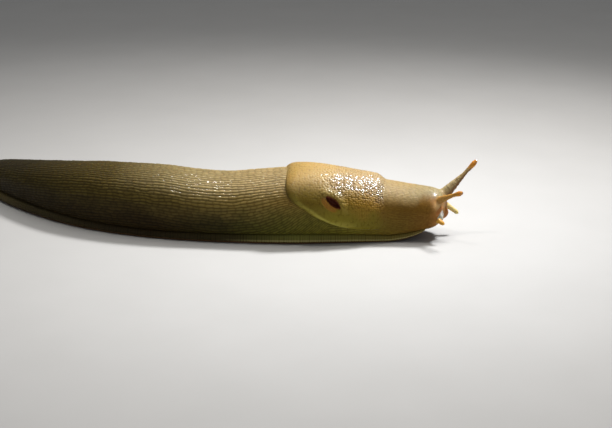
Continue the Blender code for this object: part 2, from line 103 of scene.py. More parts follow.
class Value:
    """A socket that carries a number, with the operators that the finishes use."""

    def __init__(self, finish, socket):
        self.finish = finish
        self.socket = socket

    def math(self, operation, first, second=0.0):
        return self.finish.node("Math", {"operation": operation}, {0: first, 1: second})

    def __add__(self, other):
        return self.math("ADD", self, other)

    def __radd__(self, other):
        return self.math("ADD", other, self)

    def __sub__(self, other):
        return self.math("SUBTRACT", self, other)

    def __rsub__(self, other):
        return self.math("SUBTRACT", other, self)

    def __mul__(self, other):
        return self.math("MULTIPLY", self, other)

    def __rmul__(self, other):
        return self.math("MULTIPLY", other, self)

    def __abs__(self):
        return self.math("ABSOLUTE", self)

    def rise(self, low, high):
        """0 below low, 1 above high, and smooth between them."""
        inputs = {"Value": self, "From Min": low, "From Max": high}
        return self.finish.node("MapRange", {"interpolation_type": "SMOOTHSTEP"}, inputs)


class Finish:
    """A material and the nodes that it is made of."""

    def __init__(self, name, roughness):
        self.material = bpy.data.materials.new(name)
        self.material.use_nodes = True
        self.tree = self.material.node_tree
        self.shader = self.tree.nodes["Principled BSDF"]
        self.shader.inputs["Roughness"].default_value = roughness

    def node(self, kind, settings=None, inputs=None, output=0):
        """Adds a node, sets it, then gives its sockets their values or links."""
        made = self.tree.nodes.new("ShaderNode" + kind)
        for name, value in (settings or {}).items():
            if name == "stops":
                self.set_stops(made.color_ramp, value)
            else:
                setattr(made, name, value)
        for name, value in (inputs or {}).items():
            self.put(made.inputs[name], value)
        return Value(self, made.outputs[output])

    def put(self, socket, value):
        if isinstance(value, Value):
            self.tree.links.new(value.socket, socket)
        elif socket.type == "RGBA" and len(value) == 3:
            socket.default_value = (*value, 1.0)
        else:
            socket.default_value = value

    def set_stops(self, ramp, stops):
        while len(ramp.elements) < len(stops):
            ramp.elements.new(1.0)
        for element, (place, colour) in zip(ramp.elements, stops):
            element.position = place
            element.color = (*colour, 1.0)

    def attribute(self, name):
        return self.node("Attribute", {"attribute_name": name}, output=2)

    def noise(self, size, detail=3.0):
        """Noise whose lumps are about this size in metres."""
        place = self.node("TexCoord", output=3)
        moved = self.node("Mapping", {}, {"Vector": place, "Scale": [1 / size] * 3})
        return self.node("TexNoise", {}, {"Vector": moved, "Scale": 1.0, "Detail": detail})

    def ramp(self, factor, stops):
        return self.node("ValToRGB", {"stops": stops}, {"Fac": factor})

    def mix(self, factor, first, second, blend="MIX"):
        settings = {"data_type": "RGBA", "blend_type": blend}
        return self.node("Mix", settings, {0: factor, 6: first, 7: second}, output=2)

    def darken(self, factor, colour, tint):
        """The colour multiplied by the tint, as far as the factor says."""
        return self.mix(factor, colour, tint, blend="MULTIPLY")

    def bump(self, height, distance):
        return self.node("Bump", {}, {"Height": height, "Distance": distance})

    def set(self, **inputs):
        """Sets the shader's sockets, named with _ for a space."""
        for name, value in inputs.items():
            self.put(self.shader.inputs[name.replace("_", " ")], value)


FLOOR_HALF = 3.0

corners = [(x * FLOOR_HALF, y * FLOOR_HALF, 0) for x, y in ((-1, -1), (1, -1), (1, 1), (-1, 1))]
board = bpy.data.meshes.new("floor")
board.from_pydata(corners, [], [(0, 1, 2, 3)])
floor = bpy.data.objects.new("floor", board)
scene.collection.objects.link(floor)
paint = Finish("floor", roughness=0.7)
grain = paint.noise(30 * MM, detail=4.0)
paint.set(Base_Color=paint.mix(grain, (0.42, 0.41, 0.39), (0.46, 0.45, 0.43)))
board.materials.append(paint.material)

# The skin: one closed surface over head, neck, trunk, tail and foot, so that no seam shows. It
# is a row of rings along the spine, each from the right groove over the back to the left groove
# and round the foot's fringe and sole. Tubercles, striae and folds are pushed out as real relief.

BODY_LENGTH = 204 * MM
GAP = 0.3 * MM
TAIL_TIP = (-96.92 * MM, 38.52 * MM)


def along_spine(*stops, unit=MM):
    """A table of values along the spine, its places and its lengths given in millimetres."""
    return [(place * MM, value * unit) for place, value in stops]


# The way the spine points, in degrees from +X towards +Y.
HEADING = along_spine(
    (0, -40.0), (31, -45.0), (56, -38.0), (96, -17.0), (131, -5.0), (156, 1.0), (176, -3.0),
    (194, -12.0), (204, -20.0), unit=1,
)

# Half the width of the flesh above the foot, and the height of the back.
HALF_WIDTH = along_spine(
    (0, 0.7), (6, 3.3), (16, 6.0), (36, 8.8), (56, 10.6), (78, 12.0), (110, 12.7), (130, 12.5),
    (152, 13.0), (168, 12.0), (182, 9.9), (196, 8.2), (204, 7.2),
)
BACK_HEIGHT = along_spine(
    (0, 2.4), (6, 6.2), (16, 10.0), (36, 14.6), (56, 18.4), (78, 21.8), (100, 22.9), (128, 22.0),
    (142, 23.4), (156, 23.8), (170, 21.8), (184, 19.5), (196, 18.1), (204, 17.5),
)

# The foot: half its width at the fringe, how far the fringe stands out, and its thickness.
FOOT_HALF_WIDTH = along_spine(
    (0, 1.2), (6, 4.6), (16, 7.4), (36, 9.8), (60, 10.9), (96, 11.6), (130, 11.6), (156, 12.0),
    (172, 11.0), (186, 9.0), (198, 6.8),
)
FRINGE_REACH = along_spine(
    (0, 0.4), (12, 1.8), (36, 1.9), (70, 1.1), (100, 0.8), (120, 0.8), (198, 0.8),
)
FOOT_THICKNESS = along_spine(
    (0, 0.9), (12, 2.4), (36, 3.2), (100, 2.9), (170, 3.1), (190, 2.2), (204, 2.0),
)
LIFT_START = 184 * MM
HEAD_LIFT = 4.2 * MM
LIFT_POWER = 1.4

# How sharply the back is ridged, and the widest line of the flank as a share of its height.
KEEL = along_spine((0, 1.25), (40, 1.15), (80, 1.0), (204, 0.95), unit=1)
BULGE = along_spine((0, 0.5), (160, 0.5), (180, 0.5), (192, 0.48), (204, 0.38), unit=1)
DOME_SHARE = 0.68
SNOUT_LENGTH = 7.0 * MM
SNOUT_ROUNDNESS = 3.4
TAIL_ROUNDING = 1.6 * MM
FOOT_FRONT = 198 * MM
FOOT_TOE = 9.0 * MM
CHIN_DEPTH = 1.1 * MM
GROOVE_DEPTH = 0.22 * MM
RIDGE_HEIGHT = 0.22 * MM      # the crest that runs along the fringe
RIDGE_TURN = -0.25
RIDGE_WIDTH = 0.22


def smooth(stops, distance):
    """A smooth curve through the stops, read at one distance or at an array of them."""
    places = np.array([stop[0] for stop in stops])
    values = np.array([stop[1] for stop in stops])
    steps = np.diff(places)
    slopes = np.diff(values) / steps
    tangents = np.empty_like(values)
    tangents[0] = slopes[0]
    tangents[-1] = slopes[-1]
    tangents[1:-1] = (steps[1:] * slopes[:-1] + steps[:-1] * slopes[1:]) / (steps[1:] + steps[:-1])
    held = np.clip(distance, places[0], places[-1])
    index = np.clip(np.searchsorted(places, held) - 1, 0, len(steps) - 1)
    t = (held - places[index]) / steps[index]
    rise = (3 - 2 * t) * t * t
    start_pull = t * (1 - t) ** 2 * steps[index] * tangents[index]
    end_pull = t * t * (t - 1) * steps[index] * tangents[index + 1]
    return values[index] * (1 - rise) + values[index + 1] * rise + start_pull + end_pull


SPINE_STEP = 0.5 * MM
SPINE_PLACES = np.arange(0, BODY_LENGTH + 5 * MM, SPINE_STEP)
SPINE_HEADINGS = np.radians(smooth(HEADING, SPINE_PLACES))
SPINE_X = TAIL_TIP[0] + np.concatenate([[0], np.cumsum(np.cos(SPINE_HEADINGS[1:]))]) * SPINE_STEP
SPINE_Y = TAIL_TIP[1] + np.concatenate([[0], np.cumsum(np.sin(SPINE_HEADINGS[1:]))]) * SPINE_STEP


def on_body(distance, side, height):
    """World points: a distance along the spine, an offset to the left of it, and a height."""
    heading = np.radians(smooth(HEADING, distance))
    x = np.interp(distance, SPINE_PLACES, SPINE_X) - side * np.sin(heading)
    y = np.interp(distance, SPINE_PLACES, SPINE_Y) + side * np.cos(heading)
    return np.stack(np.broadcast_arrays(x, y, height), axis=-1)


def sole_lift(distance):
    along = np.clip((distance - LIFT_START) / (BODY_LENGTH - LIFT_START), 0, 1)
    return HEAD_LIFT * along ** LIFT_POWER


def closing(distance):
    """How much of the full section is left where the head and the tail round off."""
    front = np.clip((distance - BODY_LENGTH + SNOUT_LENGTH) / SNOUT_LENGTH, 0, 1)
    back = np.clip(1 - distance / TAIL_ROUNDING, 0, 1)
    return (1 - front ** SNOUT_ROUNDNESS) ** (1 / SNOUT_ROUNDNESS) * np.sqrt(1 - back ** 2)


def levels(distance):
    """The groove's offset and height, the back's height, and the height of the widest line."""
    bottom = sole_lift(distance) + smooth(FOOT_THICKNESS, distance) + GAP
    top = smooth(BACK_HEIGHT, distance)
    groove = smooth(FOOT_HALF_WIDTH, distance) - smooth(FRINGE_REACH, distance)
    return groove, bottom, top, bottom + smooth(BULGE, distance) * (top - bottom)


def flesh(distance, girth):
    """The skin above the foot. Girth runs from -1 at the right groove over the back to 1."""
    groove, bottom, top, middle = levels(distance)
    wide = smooth(HALF_WIDTH, distance)
    reach = np.abs(girth)
    over = np.clip(1 - reach / DOME_SHARE, 0, 1) * math.pi / 2
    under = np.clip((reach - DOME_SHARE) / (1 - DOME_SHARE), 0, 1) * math.pi / 2
    dome_side = wide * np.cos(over) ** smooth(KEEL, distance)
    dome_height = middle + (top - middle) * np.sin(over)
    flank_side = groove + (wide - groove) * np.cos(under)
    flank_height = bottom + (middle - bottom) * (1 - np.sin(under))
    side = np.where(reach < DOME_SHARE, dome_side, flank_side)
    height = np.where(reach < DOME_SHARE, dome_height, flank_height)
    left = closing(distance)
    return on_body(distance, np.sign(girth) * side * left, middle + (height - middle) * left)


def unit(vectors):
    return vectors / np.linalg.norm(vectors, axis=-1, keepdims=True)


def flesh_normals(distance, girth):
    """Unit normals of the flesh, pointing out of the body."""
    ahead = flesh(distance + 0.05 * MM, girth) - flesh(distance - 0.05 * MM, girth)
    around = flesh(distance, girth + 0.002) - flesh(distance, girth - 0.002)
    return unit(np.cross(ahead, around))


FRINGE_TURNS = np.radians(np.linspace(78, -90, 16))
SOLE_SHARES = np.linspace(1, 0, 14)[1:]
LOWER_COLUMNS = 3 + len(FRINGE_TURNS) + len(SOLE_SHARES)
LOWER_SHARES = np.linspace(0, 1, LOWER_COLUMNS + 1)[1:]


def lower_half(distance):
    """Offsets and heights from the left groove, round the fringe, to the middle of the sole."""
    groove, bottom, top, middle = levels(distance)
    lift = sole_lift(distance)
    thick = smooth(FOOT_THICKNESS, distance)
    wide = smooth(FOOT_HALF_WIDTH, distance)
    reach = np.minimum(smooth(FRINGE_REACH, distance), 0.8 * wide)
    notch_side = groove - GROOVE_DEPTH * np.array([0.6, 1.0, 0.7])
    notch_height = bottom - GAP * np.array([0.1, 0.6, 1.1])
    crest = RIDGE_HEIGHT * np.exp(-((FRINGE_TURNS - RIDGE_TURN) / RIDGE_WIDTH) ** 2)
    fringe_side = wide - reach + (reach + crest) * np.cos(FRINGE_TURNS)
    fringe_height = lift + thick * (1 + np.sin(FRINGE_TURNS)) / 2
    sole_side = (wide - reach) * SOLE_SHARES
    sole_height = lift * np.ones_like(SOLE_SHARES)
    side = np.concatenate([notch_side, fringe_side, sole_side], axis=1)
    height = np.concatenate([notch_height, fringe_height, sole_height], axis=1)
    turn = LOWER_SHARES * math.pi / 2
    toe = np.clip((distance - FOOT_FRONT + FOOT_TOE) / FOOT_TOE, 0, 1)
    foot = np.sqrt(1 - toe ** 2)
    side = groove * np.cos(turn) * (1 - foot) + side * foot
    height = (bottom - CHIN_DEPTH * np.sin(turn)) * (1 - foot) + height * foot
    left = closing(distance)
    return side * left, middle + (height - middle) * left


def rounded_steps(start, length, across, power, step):
    """Distances over a rounded end, evenly spaced along its curve rather than the spine."""
    turns = np.linspace(0, math.pi / 2, 4000)
    along = np.sin(turns) ** (2 / power)
    left = np.cos(turns) ** (2 / power)
    lengths = np.hypot(np.diff(along) * length, np.diff(left) * across)
    travel = np.concatenate([[0], np.cumsum(lengths)])
    stops = np.arange(step, travel[-1] - step / 2, step)
    return start + length * np.interp(stops, travel, along)


FLESH_COLUMNS = 257
RING_STEP = 0.32 * MM
HEAD_RING_STEP = 0.2 * MM
TAIL_RING_STEP = 0.15 * MM
FINE_START = 178 * MM

snout_start = BODY_LENGTH - SNOUT_LENGTH
tail_steps = rounded_steps(0, TAIL_ROUNDING, 2 * MM, 2, TAIL_RING_STEP)
places = np.concatenate([
    TAIL_ROUNDING - tail_steps[::-1],
    np.arange(TAIL_ROUNDING, FINE_START, RING_STEP),
    np.arange(FINE_START, snout_start, HEAD_RING_STEP),
    rounded_steps(snout_start, SNOUT_LENGTH, 8 * MM, SNOUT_ROUNDNESS, HEAD_RING_STEP),
])[:, None]
girths = np.linspace(-1, 1, FLESH_COLUMNS)[None, :]
upper = flesh(places, girths)
half_side, half_height = lower_half(places)
lower_left = on_body(places, half_side, half_height)
lower_right = on_body(places, -half_side, half_height)[:, -2::-1]
plain = np.concatenate([upper, lower_left, lower_right], axis=1)
outward = unit(np.cross(np.gradient(plain, axis=0), np.roll(plain, -1, axis=1) - np.roll(plain, 1, axis=1)))


def mottle(x, y, seed):
    """Smooth seeded noise from -1 to 1 over a plane, one lump to a unit."""
    lattice = np.random.default_rng(seed).uniform(-1, 1, (64, 64))
    column = np.floor(x).astype(int)
    row = np.floor(y).astype(int)
    u = x - column
    v = y - row
    u = u * u * (3 - 2 * u)
    v = v * v * (3 - 2 * v)
    left, right = column % 64, (column + 1) % 64
    low, high = row % 64, (row + 1) % 64
    near = lattice[left, low] * (1 - u) + lattice[right, low] * u
    far = lattice[left, high] * (1 - u) + lattice[right, high] * u
    return near * (1 - v) + far * v


def lumps(points, size, seed):
    """Smooth seeded noise from -1 to 1 in space, its lumps about this size."""
    lattice = np.random.default_rng(seed).uniform(-1, 1, (32, 32, 32))
    scaled = points / size + 100.37
    cell = np.floor(scaled).astype(int)
    part = scaled - cell
    part = part * part * (3 - 2 * part)
    total = 0
    for corner in np.ndindex(2, 2, 2):
        weight = np.prod(np.abs(1 - np.array(corner) - part), axis=-1)
        i, j, k = np.moveaxis((cell + corner) % 32, -1, 0)
        total = total + weight * lattice[i, j, k]
    return total


def pebbles(points, size, seed):
    """Low grains parted by creases: 0 in the creases, up to about 1 on the grains."""
    coarse = np.abs(lumps(points, size, seed))
    fine = np.abs(lumps(points, size * 0.6, seed + 1))
    return np.clip(1.5 * np.minimum(coarse * 1.4, fine * 1.4 + 0.12), 0, 1)


def ease(low, high, x):
    t = np.clip((x - low) / (high - low), 0, 1)
    return t * t * (3 - 2 * t)


# The tubercles: rows of low oblong pillows that run along the body, finer on the neck. Behind
# and below the mantle the rows fan upwards to meet its edge.
ROW_SPACING = along_spine(
    (0, 0.80), (40, 0.95), (90, 1.05), (150, 1.05), (172, 0.85), (188, 0.62), (204, 0.55),
)
ROW_RELIEF = along_spine(
    (0, 0.09), (20, 0.16), (60, 0.22), (150, 0.24), (172, 0.15), (188, 0.12), (204, 0.06),
)
TUBERCLE_LENGTH = 2.3 * MM
FAN_START = 136 * MM
FAN_END = 162 * MM
FAN_RATE = 0.02               # rows gained per square millimetre from the start of the fan
WRINKLE_RELIEF = 0.045 * MM
SWELLING_RELIEF = 0.16 * MM
SNOUT_FADE = 10 * MM          # the rows give way to pebbles towards the snout
SNOUT_PEBBLE = 0.9 * MM

steps = np.linalg.norm(np.diff(upper, axis=1), axis=2)
arc = np.concatenate([np.zeros_like(places), np.cumsum(steps, axis=1)], axis=1)
arc = arc - arc[:, FLESH_COLUMNS // 2][:, None]
fan_travel = np.clip(places, FAN_START, FAN_END) - FAN_START
fan = FAN_RATE * (fan_travel / MM) ** 2 * ease(0.35, 0.8, np.abs(girths)) * np.sign(girths)
row = arc / smooth(ROW_SPACING, places) + fan
row = row + 0.30 * mottle(places / (5 * MM), arc / (2.2 * MM), 11)
row = row + 0.12 * mottle(places / (1.6 * MM), arc / MM, 12)

chance = np.random.default_rng(5)
stagger = chance.uniform(0, 1, 128)
pillow_size = chance.uniform(0.55, 1.0, (128, 256))
lane = np.floor(row).astype(int)
across = 2 * (row - lane) - 1
brick_place = places / TUBERCLE_LENGTH + stagger[lane % 128]
brick_place = brick_place + 0.22 * mottle(places / (3 * MM), row / 1.3, 13)
brick = np.floor(brick_place).astype(int)
within = 2 * (brick_place - brick) - 1
pillow = (1 - np.abs(across) ** 1.8) * (1 - 0.6 * np.abs(within) ** 4)
pillow = pillow * pillow_size[lane % 128, brick % 256]

# Shallow wrinkles across the body, and slow swellings of the flesh.
wrinkle = mottle(places / (1.7 * MM), arc / (9 * MM), 14)
swelling = mottle(places / (17 * MM), arc / (12 * MM), 15)
swelling = swelling + 0.4 * mottle(places / (7 * MM), arc / (6 * MM), 16)
to_groove = np.clip((1 - np.abs(girths)) / 0.04, 0, 1)
front_fade = ease(0, 1, (BODY_LENGTH - places) / SNOUT_FADE)
relief_upper = pillow * front_fade + (1 - front_fade) * pebbles(upper, SNOUT_PEBBLE, 21)
height_upper = (relief_upper - 0.4) * smooth(ROW_RELIEF, places)
height_upper = height_upper + (WRINKLE_RELIEF * wrinkle + SWELLING_RELIEF * swelling) * front_fade
height_upper = height_upper * to_groove * np.clip(places / (4 * MM), 0, 1)

# Fine upright striae on the fringe.
STRIA_SPACING = 0.85 * MM
STRIA_RELIEF = 0.17 * MM
fringe_mask = np.zeros(LOWER_COLUMNS)
fringe_mask[3:3 + len(FRINGE_TURNS)] = np.cos(FRINGE_TURNS * 0.95) ** 0.5
stria_place = places / STRIA_SPACING + 0.35 * mottle(places / (3 * MM), np.zeros_like(places), 17)
stria = 1 - np.abs(2 * (stria_place - np.floor(stria_place)) - 1) ** 2.2
relief_lower = stria * fringe_mask + (1 - fringe_mask) * 0.6
height_lower = (stria - 0.5) * STRIA_RELIEF * fringe_mask
height_lower = height_lower * closing(places) * np.clip(places / (6 * MM), 0, 1)


def ring_of(upper_values, left_values):
    """Values all round the rings, from those of the flesh and of the foot's left half."""
    return np.concatenate([upper_values, left_values, left_values[..., -2::-1]], axis=-1)


swell = ring_of(height_upper, height_lower)
relief = ring_of(relief_upper, relief_lower)
under = ring_of(np.zeros(FLESH_COLUMNS), LOWER_SHARES)
around = np.concatenate([girths[0], np.ones(LOWER_COLUMNS), -np.ones(LOWER_COLUMNS - 1)])

# The pit behind the breathing hole, so that the opening in the mantle is dark and deep.
HOLE_PLACE = 163.8 * MM
HOLE_GIRTH = -0.575
HOLE_LENGTH = 6.2 * MM
HOLE_WIDTH = 2.3 * MM
HOLE_TILT = math.radians(-32.0)
HOLE_SHAPE = 1.65             # 2 is an ellipse, less is an almond
HOLE_NEAR = 8 * MM
PIT_DEPTH = 3.2 * MM

hole_out = flesh_normals(HOLE_PLACE, HOLE_GIRTH)
hole_centre = flesh(HOLE_PLACE, HOLE_GIRTH) + GAP * hole_out
hole_forward = unit(flesh(HOLE_PLACE + MM, HOLE_GIRTH) - flesh(HOLE_PLACE - MM, HOLE_GIRTH))
hole_long = hole_forward * math.cos(HOLE_TILT) + np.cross(hole_out, hole_forward) * math.sin(HOLE_TILT)
hole_short = np.cross(hole_out, hole_long)


def hole_chart(points):
    """Places along and across the hole, 1 at its ends and at its sides."""
    along = (points - hole_centre) @ hole_long / (HOLE_LENGTH / 2)
    return along, (points - hole_centre) @ hole_short / (HOLE_WIDTH / 2)


def hole_mask(points, low, high):
    """1 inside the almond outline times low, 0 outside it times high, or far from the hole."""
    along, beside = hole_chart(points)
    away = (np.abs(along) ** HOLE_SHAPE + np.abs(beside) ** HOLE_SHAPE) ** (1 / HOLE_SHAPE)
    return (1 - ease(low, high, away)) * hole_near(points)


def hole_near(points):
    """1 near the hole, 0 on the far side of the body."""
    return np.linalg.norm(points - hole_centre, axis=-1) < HOLE_NEAR


skin_points = plain + outward * (swell - 1.6 * PIT_DEPTH * hole_mask(plain, 1.1, 1.6))[..., None]
skin_points[..., 2] = np.maximum(skin_points[..., 2], 0)


def solid(name, points, faces):
    """A mesh object from arrays, its faces turned outwards."""
    mesh = bpy.data.meshes.new(name)
    mesh.from_pydata(points.tolist(), [], faces)
    work = bmesh.new()
    work.from_mesh(mesh)
    bmesh.ops.recalc_face_normals(work, faces=work.faces)
    work.to_mesh(mesh)
    work.free()
    made = bpy.data.objects.new(name, mesh)
    scene.collection.objects.link(made)
    return made


def loft(name, grid):
    """A closed body through rings of points, each end closed by a fan to its middle."""
    rows, columns, _ = grid.shape
    index = np.arange(rows * columns).reshape(rows, columns)
    following = np.roll(index, -1, axis=1)
    quads = np.stack([index[:-1], following[:-1], following[1:], index[1:]], axis=-1)
    faces = quads.reshape(-1, 4).tolist()
    first_middle = rows * columns
    last_middle = first_middle + 1
    for column in range(columns):
        after = (column + 1) % columns
        faces.append((column, after, first_middle))
        faces.append((int(index[-1, column]), int(index[-1, after]), last_middle))
    ends = np.stack([grid[0].mean(axis=0), grid[-1].mean(axis=0)])
    return solid(name, np.concatenate([grid.reshape(-1, 3), ends]), faces)


# What is known of each point: the finish reads all but the turn, a place on the map OFBake.
FACT_NAMES = (
    "along", "around", "under", "relief", "turn", "feeler", "lip", "far", "lower", "mouth", "belly",
)
source_points = []
source_facts = []


def keep_source(grid, **known):
    """Keeps the points of a grid and their facts, 0 where none is given, for the joined skin."""
    facts = [np.broadcast_to(known.get(name, 0.0), grid.shape[:2]).ravel() for name in FACT_NAMES]
    source_points.append(grid.reshape(-1, 3))
    source_facts.append(np.stack(facts, axis=1))


ring_turn = np.concatenate([
    0.36 + 0.36 * girths[0], 0.72 + 0.14 * LOWER_SHARES, 0.86 + 0.14 * LOWER_SHARES[:-1],
])
skin = loft("skin", skin_points)
keep_source(
    skin_points, along=places / BODY_LENGTH, around=around, under=under, relief=relief, turn=ring_turn,
)

# The feelers and the lips: soft stalks and folds of the same skin that grow out of the head. Each
# is its own closed stalk, flared at the root, with fine rings of wrinkles, and is then joined to
# the skin and smoothed there.

HEAD_HEADING = math.radians(HEADING[-1][1])
HEAD_FORWARD = np.array([math.cos(HEAD_HEADING), math.sin(HEAD_HEADING), 0])
HEAD_LEFT = np.array([-math.sin(HEAD_HEADING), math.cos(HEAD_HEADING), 0])
UP = np.array([0, 0, 1.0])
ROOT_SINKING = 2.5 * MM
ROOT_INWARD = 1.3 * MM
STALK_STEP = 0.14 * MM
STALK_SIDES = 72
STALK_PEBBLE = 0.55 * MM
STALK_WRINKLE = 0.42 * MM

UPPER_ROOT = 201.6 * MM
UPPER_ROOT_SIDE = 4.25 * MM
UPPER_ROOT_HEIGHT = 14.5 * MM
UPPER_NECK_RADIUS = 0.68 * MM
UPPER_BULB_RADIUS = 0.90 * MM
UPPER_RELIEF = 0.13 * MM
LOWER_ROOT_SIDE = 4.8 * MM
LOWER_ROOT_HEIGHT = 8.4 * MM
LOWER_RADIUS = 0.95 * MM
LOWER_TIP_RADIUS = 0.75 * MM
LOWER_BEND = 0.6 * MM
LOWER_ROUNDING = 1.1 * MM
LOWER_RELIEF = 0.06 * MM
LIP_ROUNDING = 0.5 * MM
LIP_RELIEF = 0.08 * MM


def head_way(side, outward_share, upward_share):
    """A unit vector from its outward and upward share, forward being 1, on the given side."""
    return unit(HEAD_FORWARD + HEAD_LEFT * side * outward_share + UP * upward_share)


def stalk(name, root, tip, bend, radii, sunk, wrinkles, seed, rounding=0.0, facing=UP, feeler=1, **kind):
    """A bent stalk of rings. Gives the object, and keeps its points' facts for the skin.

    Rounding is the length of its domed end. Kind gives the facts that are the same all over it.
    """
    length = np.linalg.norm(tip - root)
    share = np.linspace(0, 1, int(length / STALK_STEP))[:, None]
    knee = (root + tip) / 2 + bend
    centre = root * (1 - share) ** 2 + knee * 2 * share * (1 - share) + tip * share ** 2
    ahead = unit((knee - root) * (1 - share) + (tip - knee) * share)
    across = unit(np.cross(ahead, facing))
    upward = np.cross(across, ahead)
    turns = np.linspace(0, 2 * math.pi, STALK_SIDES, endpoint=False)[None, :, None]
    spoke = across[:, None] * np.cos(turns) + upward[:, None] * np.sin(turns)
    radius = smooth(radii, share)
    if rounding > 0:
        into_dome = np.clip(1 - (1 - share) * length / rounding, 0, 0.995)
        radius = radius * np.sqrt(1 - into_dome ** 2)
    plain_stalk = centre[:, None] + spoke * radius[:, :, None]
    turns = turns[..., 0]
    grains = pebbles(plain_stalk, STALK_PEBBLE, seed)
    rings = mottle(share * length / STALK_WRINKLE, turns * 0.8, seed)
    push = wrinkles * ((grains - 0.5) + 0.7 * rings) * np.clip(radius / MM, 0.3, 1)
    push = push * (1 - 0.8 * ease(0.82, 0.9, share))
    grid = plain_stalk + spoke * push[..., None]
    feeler = feeler * np.clip((share - sunk) / (1 - sunk), 0, 1)
    keep_source(grid, along=1.0, relief=grains, feeler=feeler, belly=0.5 - 0.5 * np.sin(turns), **kind)
    return loft(name, grid)


def upper_feeler(name, side, length, base_radius, way, sag, seed):
    """A long feeler with its bulb. Gives the stalk, the tip and the way the tip points."""
    direction = head_way(side, *way)
    surface = on_body(UPPER_ROOT, side * UPPER_ROOT_SIDE, UPPER_ROOT_HEIGHT)
    root = surface - direction * ROOT_SINKING - HEAD_LEFT * side * ROOT_INWARD - UP * ROOT_INWARD / 2
    tip = surface + direction * length
    sunk = ROOT_SINKING / (ROOT_SINKING + length)
    radii = (
        (0.0, base_radius * 1.2),
        (sunk, base_radius * 1.28),
        (sunk + 0.10, base_radius * 1.06),
        (0.5, (base_radius + UPPER_NECK_RADIUS) / 2),
        (0.8, UPPER_NECK_RADIUS),
        (0.9, UPPER_BULB_RADIUS * 0.92),
        (0.95, UPPER_BULB_RADIUS),
        (0.98, UPPER_BULB_RADIUS * 0.95),
        (1.0, UPPER_BULB_RADIUS * 0.84),
    )
    bend = UP * sag
    made = stalk(name, root, tip, bend, radii, sunk, UPPER_RELIEF, seed, far=side > 0)
    return made, tip, unit(tip - (root + tip) / 2 - bend)


def lower_feeler(name, side, length, place, lift, way, seed):
    """A short feeler beside the mouth."""
    direction = head_way(side, *way)
    surface = on_body(place, side * LOWER_ROOT_SIDE, LOWER_ROOT_HEIGHT + lift)
    root = surface - direction * ROOT_SINKING
    sunk = ROOT_SINKING / (ROOT_SINKING + length)
    radii = (
        (0.0, LOWER_RADIUS * 1.2),
        (sunk, LOWER_RADIUS * 1.25),
        (sunk + 0.2, LOWER_RADIUS),
        (1.0, LOWER_TIP_RADIUS),
    )
    return stalk(
        name, root, surface + direction * length, UP * LOWER_BEND, radii, sunk, LOWER_RELIEF, seed,
        rounding=LOWER_ROUNDING, far=side > 0, lower=1,
    )


def lip(name, high, low, bulge, thickness, seed, middle=1.0, **kind):
    """A fold of skin at the mouth, from its upper to its lower end over the bulge.

    These three places are millimetres along the spine, to the left of it and up.
    """
    high, low, bulge = (on_body(*(np.array(place) * MM)) for place in (high, low, bulge))
    radii = (
        (0.0, thickness * 0.35),
        (0.3, thickness * middle),
        (0.7, thickness),
        (1.0, thickness * 0.45),
    )
    return stalk(
        name, high, low, bulge - (low + high) / 2, radii, 0.0, LIP_RELIEF, seed,
        rounding=LIP_ROUNDING, facing=HEAD_FORWARD, feeler=0, **kind,
    )


feeler_left, tip_left, ahead_left = upper_feeler(
    "feeler_left", 1, 16.8 * MM, 2.1 * MM, (0.30, 1.12), -0.8 * MM, 31,
)
feeler_right, tip_right, ahead_right = upper_feeler(
    "feeler_right", -1, 10.4 * MM, 1.4 * MM, (0.15, 0.52), 0.8 * MM, 32,
)
grown = [
    feeler_left,
    feeler_right,
    lower_feeler("palp_left", 1, 5.8 * MM, 202.8 * MM, 2.2 * MM, (0.26, -0.67), 33),
    lower_feeler("palp_right", -1, 4.5 * MM, 201.0 * MM, 0.0, (0.15, -0.34), 34),
    lip(
        "lip_fold_left", (203.0, 0.8, 11.8), (203.0, 1.7, 6.6), (204.6, 1.7, 9.2), 1.0 * MM, 35, lip=1,
    ),
    lip(
        "lip_fold_right", (203.0, -2.2, 12.7), (201.2, -6.3, 10.0), (204.0, -5.0, 12.0), 0.85 * MM, 36,
        lip=1,
    ),
    lip(
        "mouth_lobe", (203.0, -3.1, 11.6), (203.1, -3.9, 7.0), (204.1, -3.9, 8.6), 1.15 * MM, 37,
        middle=0.5, mouth=1,
    ),
]
for part in grown:
    union = skin.modifiers.new("join", "BOOLEAN")
    union.operation = "UNION"
    union.solver = "MANIFOLD"
    union.object = part
shapes = bpy.context.evaluated_depsgraph_get()
joined = bpy.data.meshes.new_from_object(skin.evaluated_get(shapes))
skin.modifiers.clear()
skin.data = joined
for part in grown:
    bpy.data.objects.remove(part)

# Each point takes the facts of the nearest point that it was made from. Points that are new
# lie on a seam between two parts, and the skin is smoothed around them.
NEW_POINT = 0.004 * MM         # a point is new if its source is further off
HEAD_START = 190 * MM
SEAM_REACH = 1.2 * MM
ROOT_REACH = 2.2 * MM          # round the roots of the long feelers
ROOT_LEVEL = 13.2 * MM
SEAM_ROUNDS = 45
SEAM_RATE = 0.6


def read(items, name, width=1, kind=np.int64):
    """The numbers of this name for all the points, edges, corners or faces of a mesh."""
    values = np.empty(len(items) * width, dtype=kind)
    items.foreach_get(name, values)
    return values.reshape(-1, width) if width > 1 else values


def tree_of(places, numbers):
    """A tree that finds the nearest of the numbered places."""
    tree = KDTree(len(numbers))
    for number in numbers:
        tree.insert(places[number], int(number))
    tree.balance()
    return tree


sources = np.concatenate(source_points)
source_tree = tree_of(sources, range(len(sources)))
points = read(joined.vertices, "co", 3, float)
found = [source_tree.find(point) for point in points]
nearest = np.array([hit[1] for hit in found])
away = np.array([hit[2] for hit in found])
own = dict(zip(FACT_NAMES, np.concatenate(source_facts)[nearest].T))

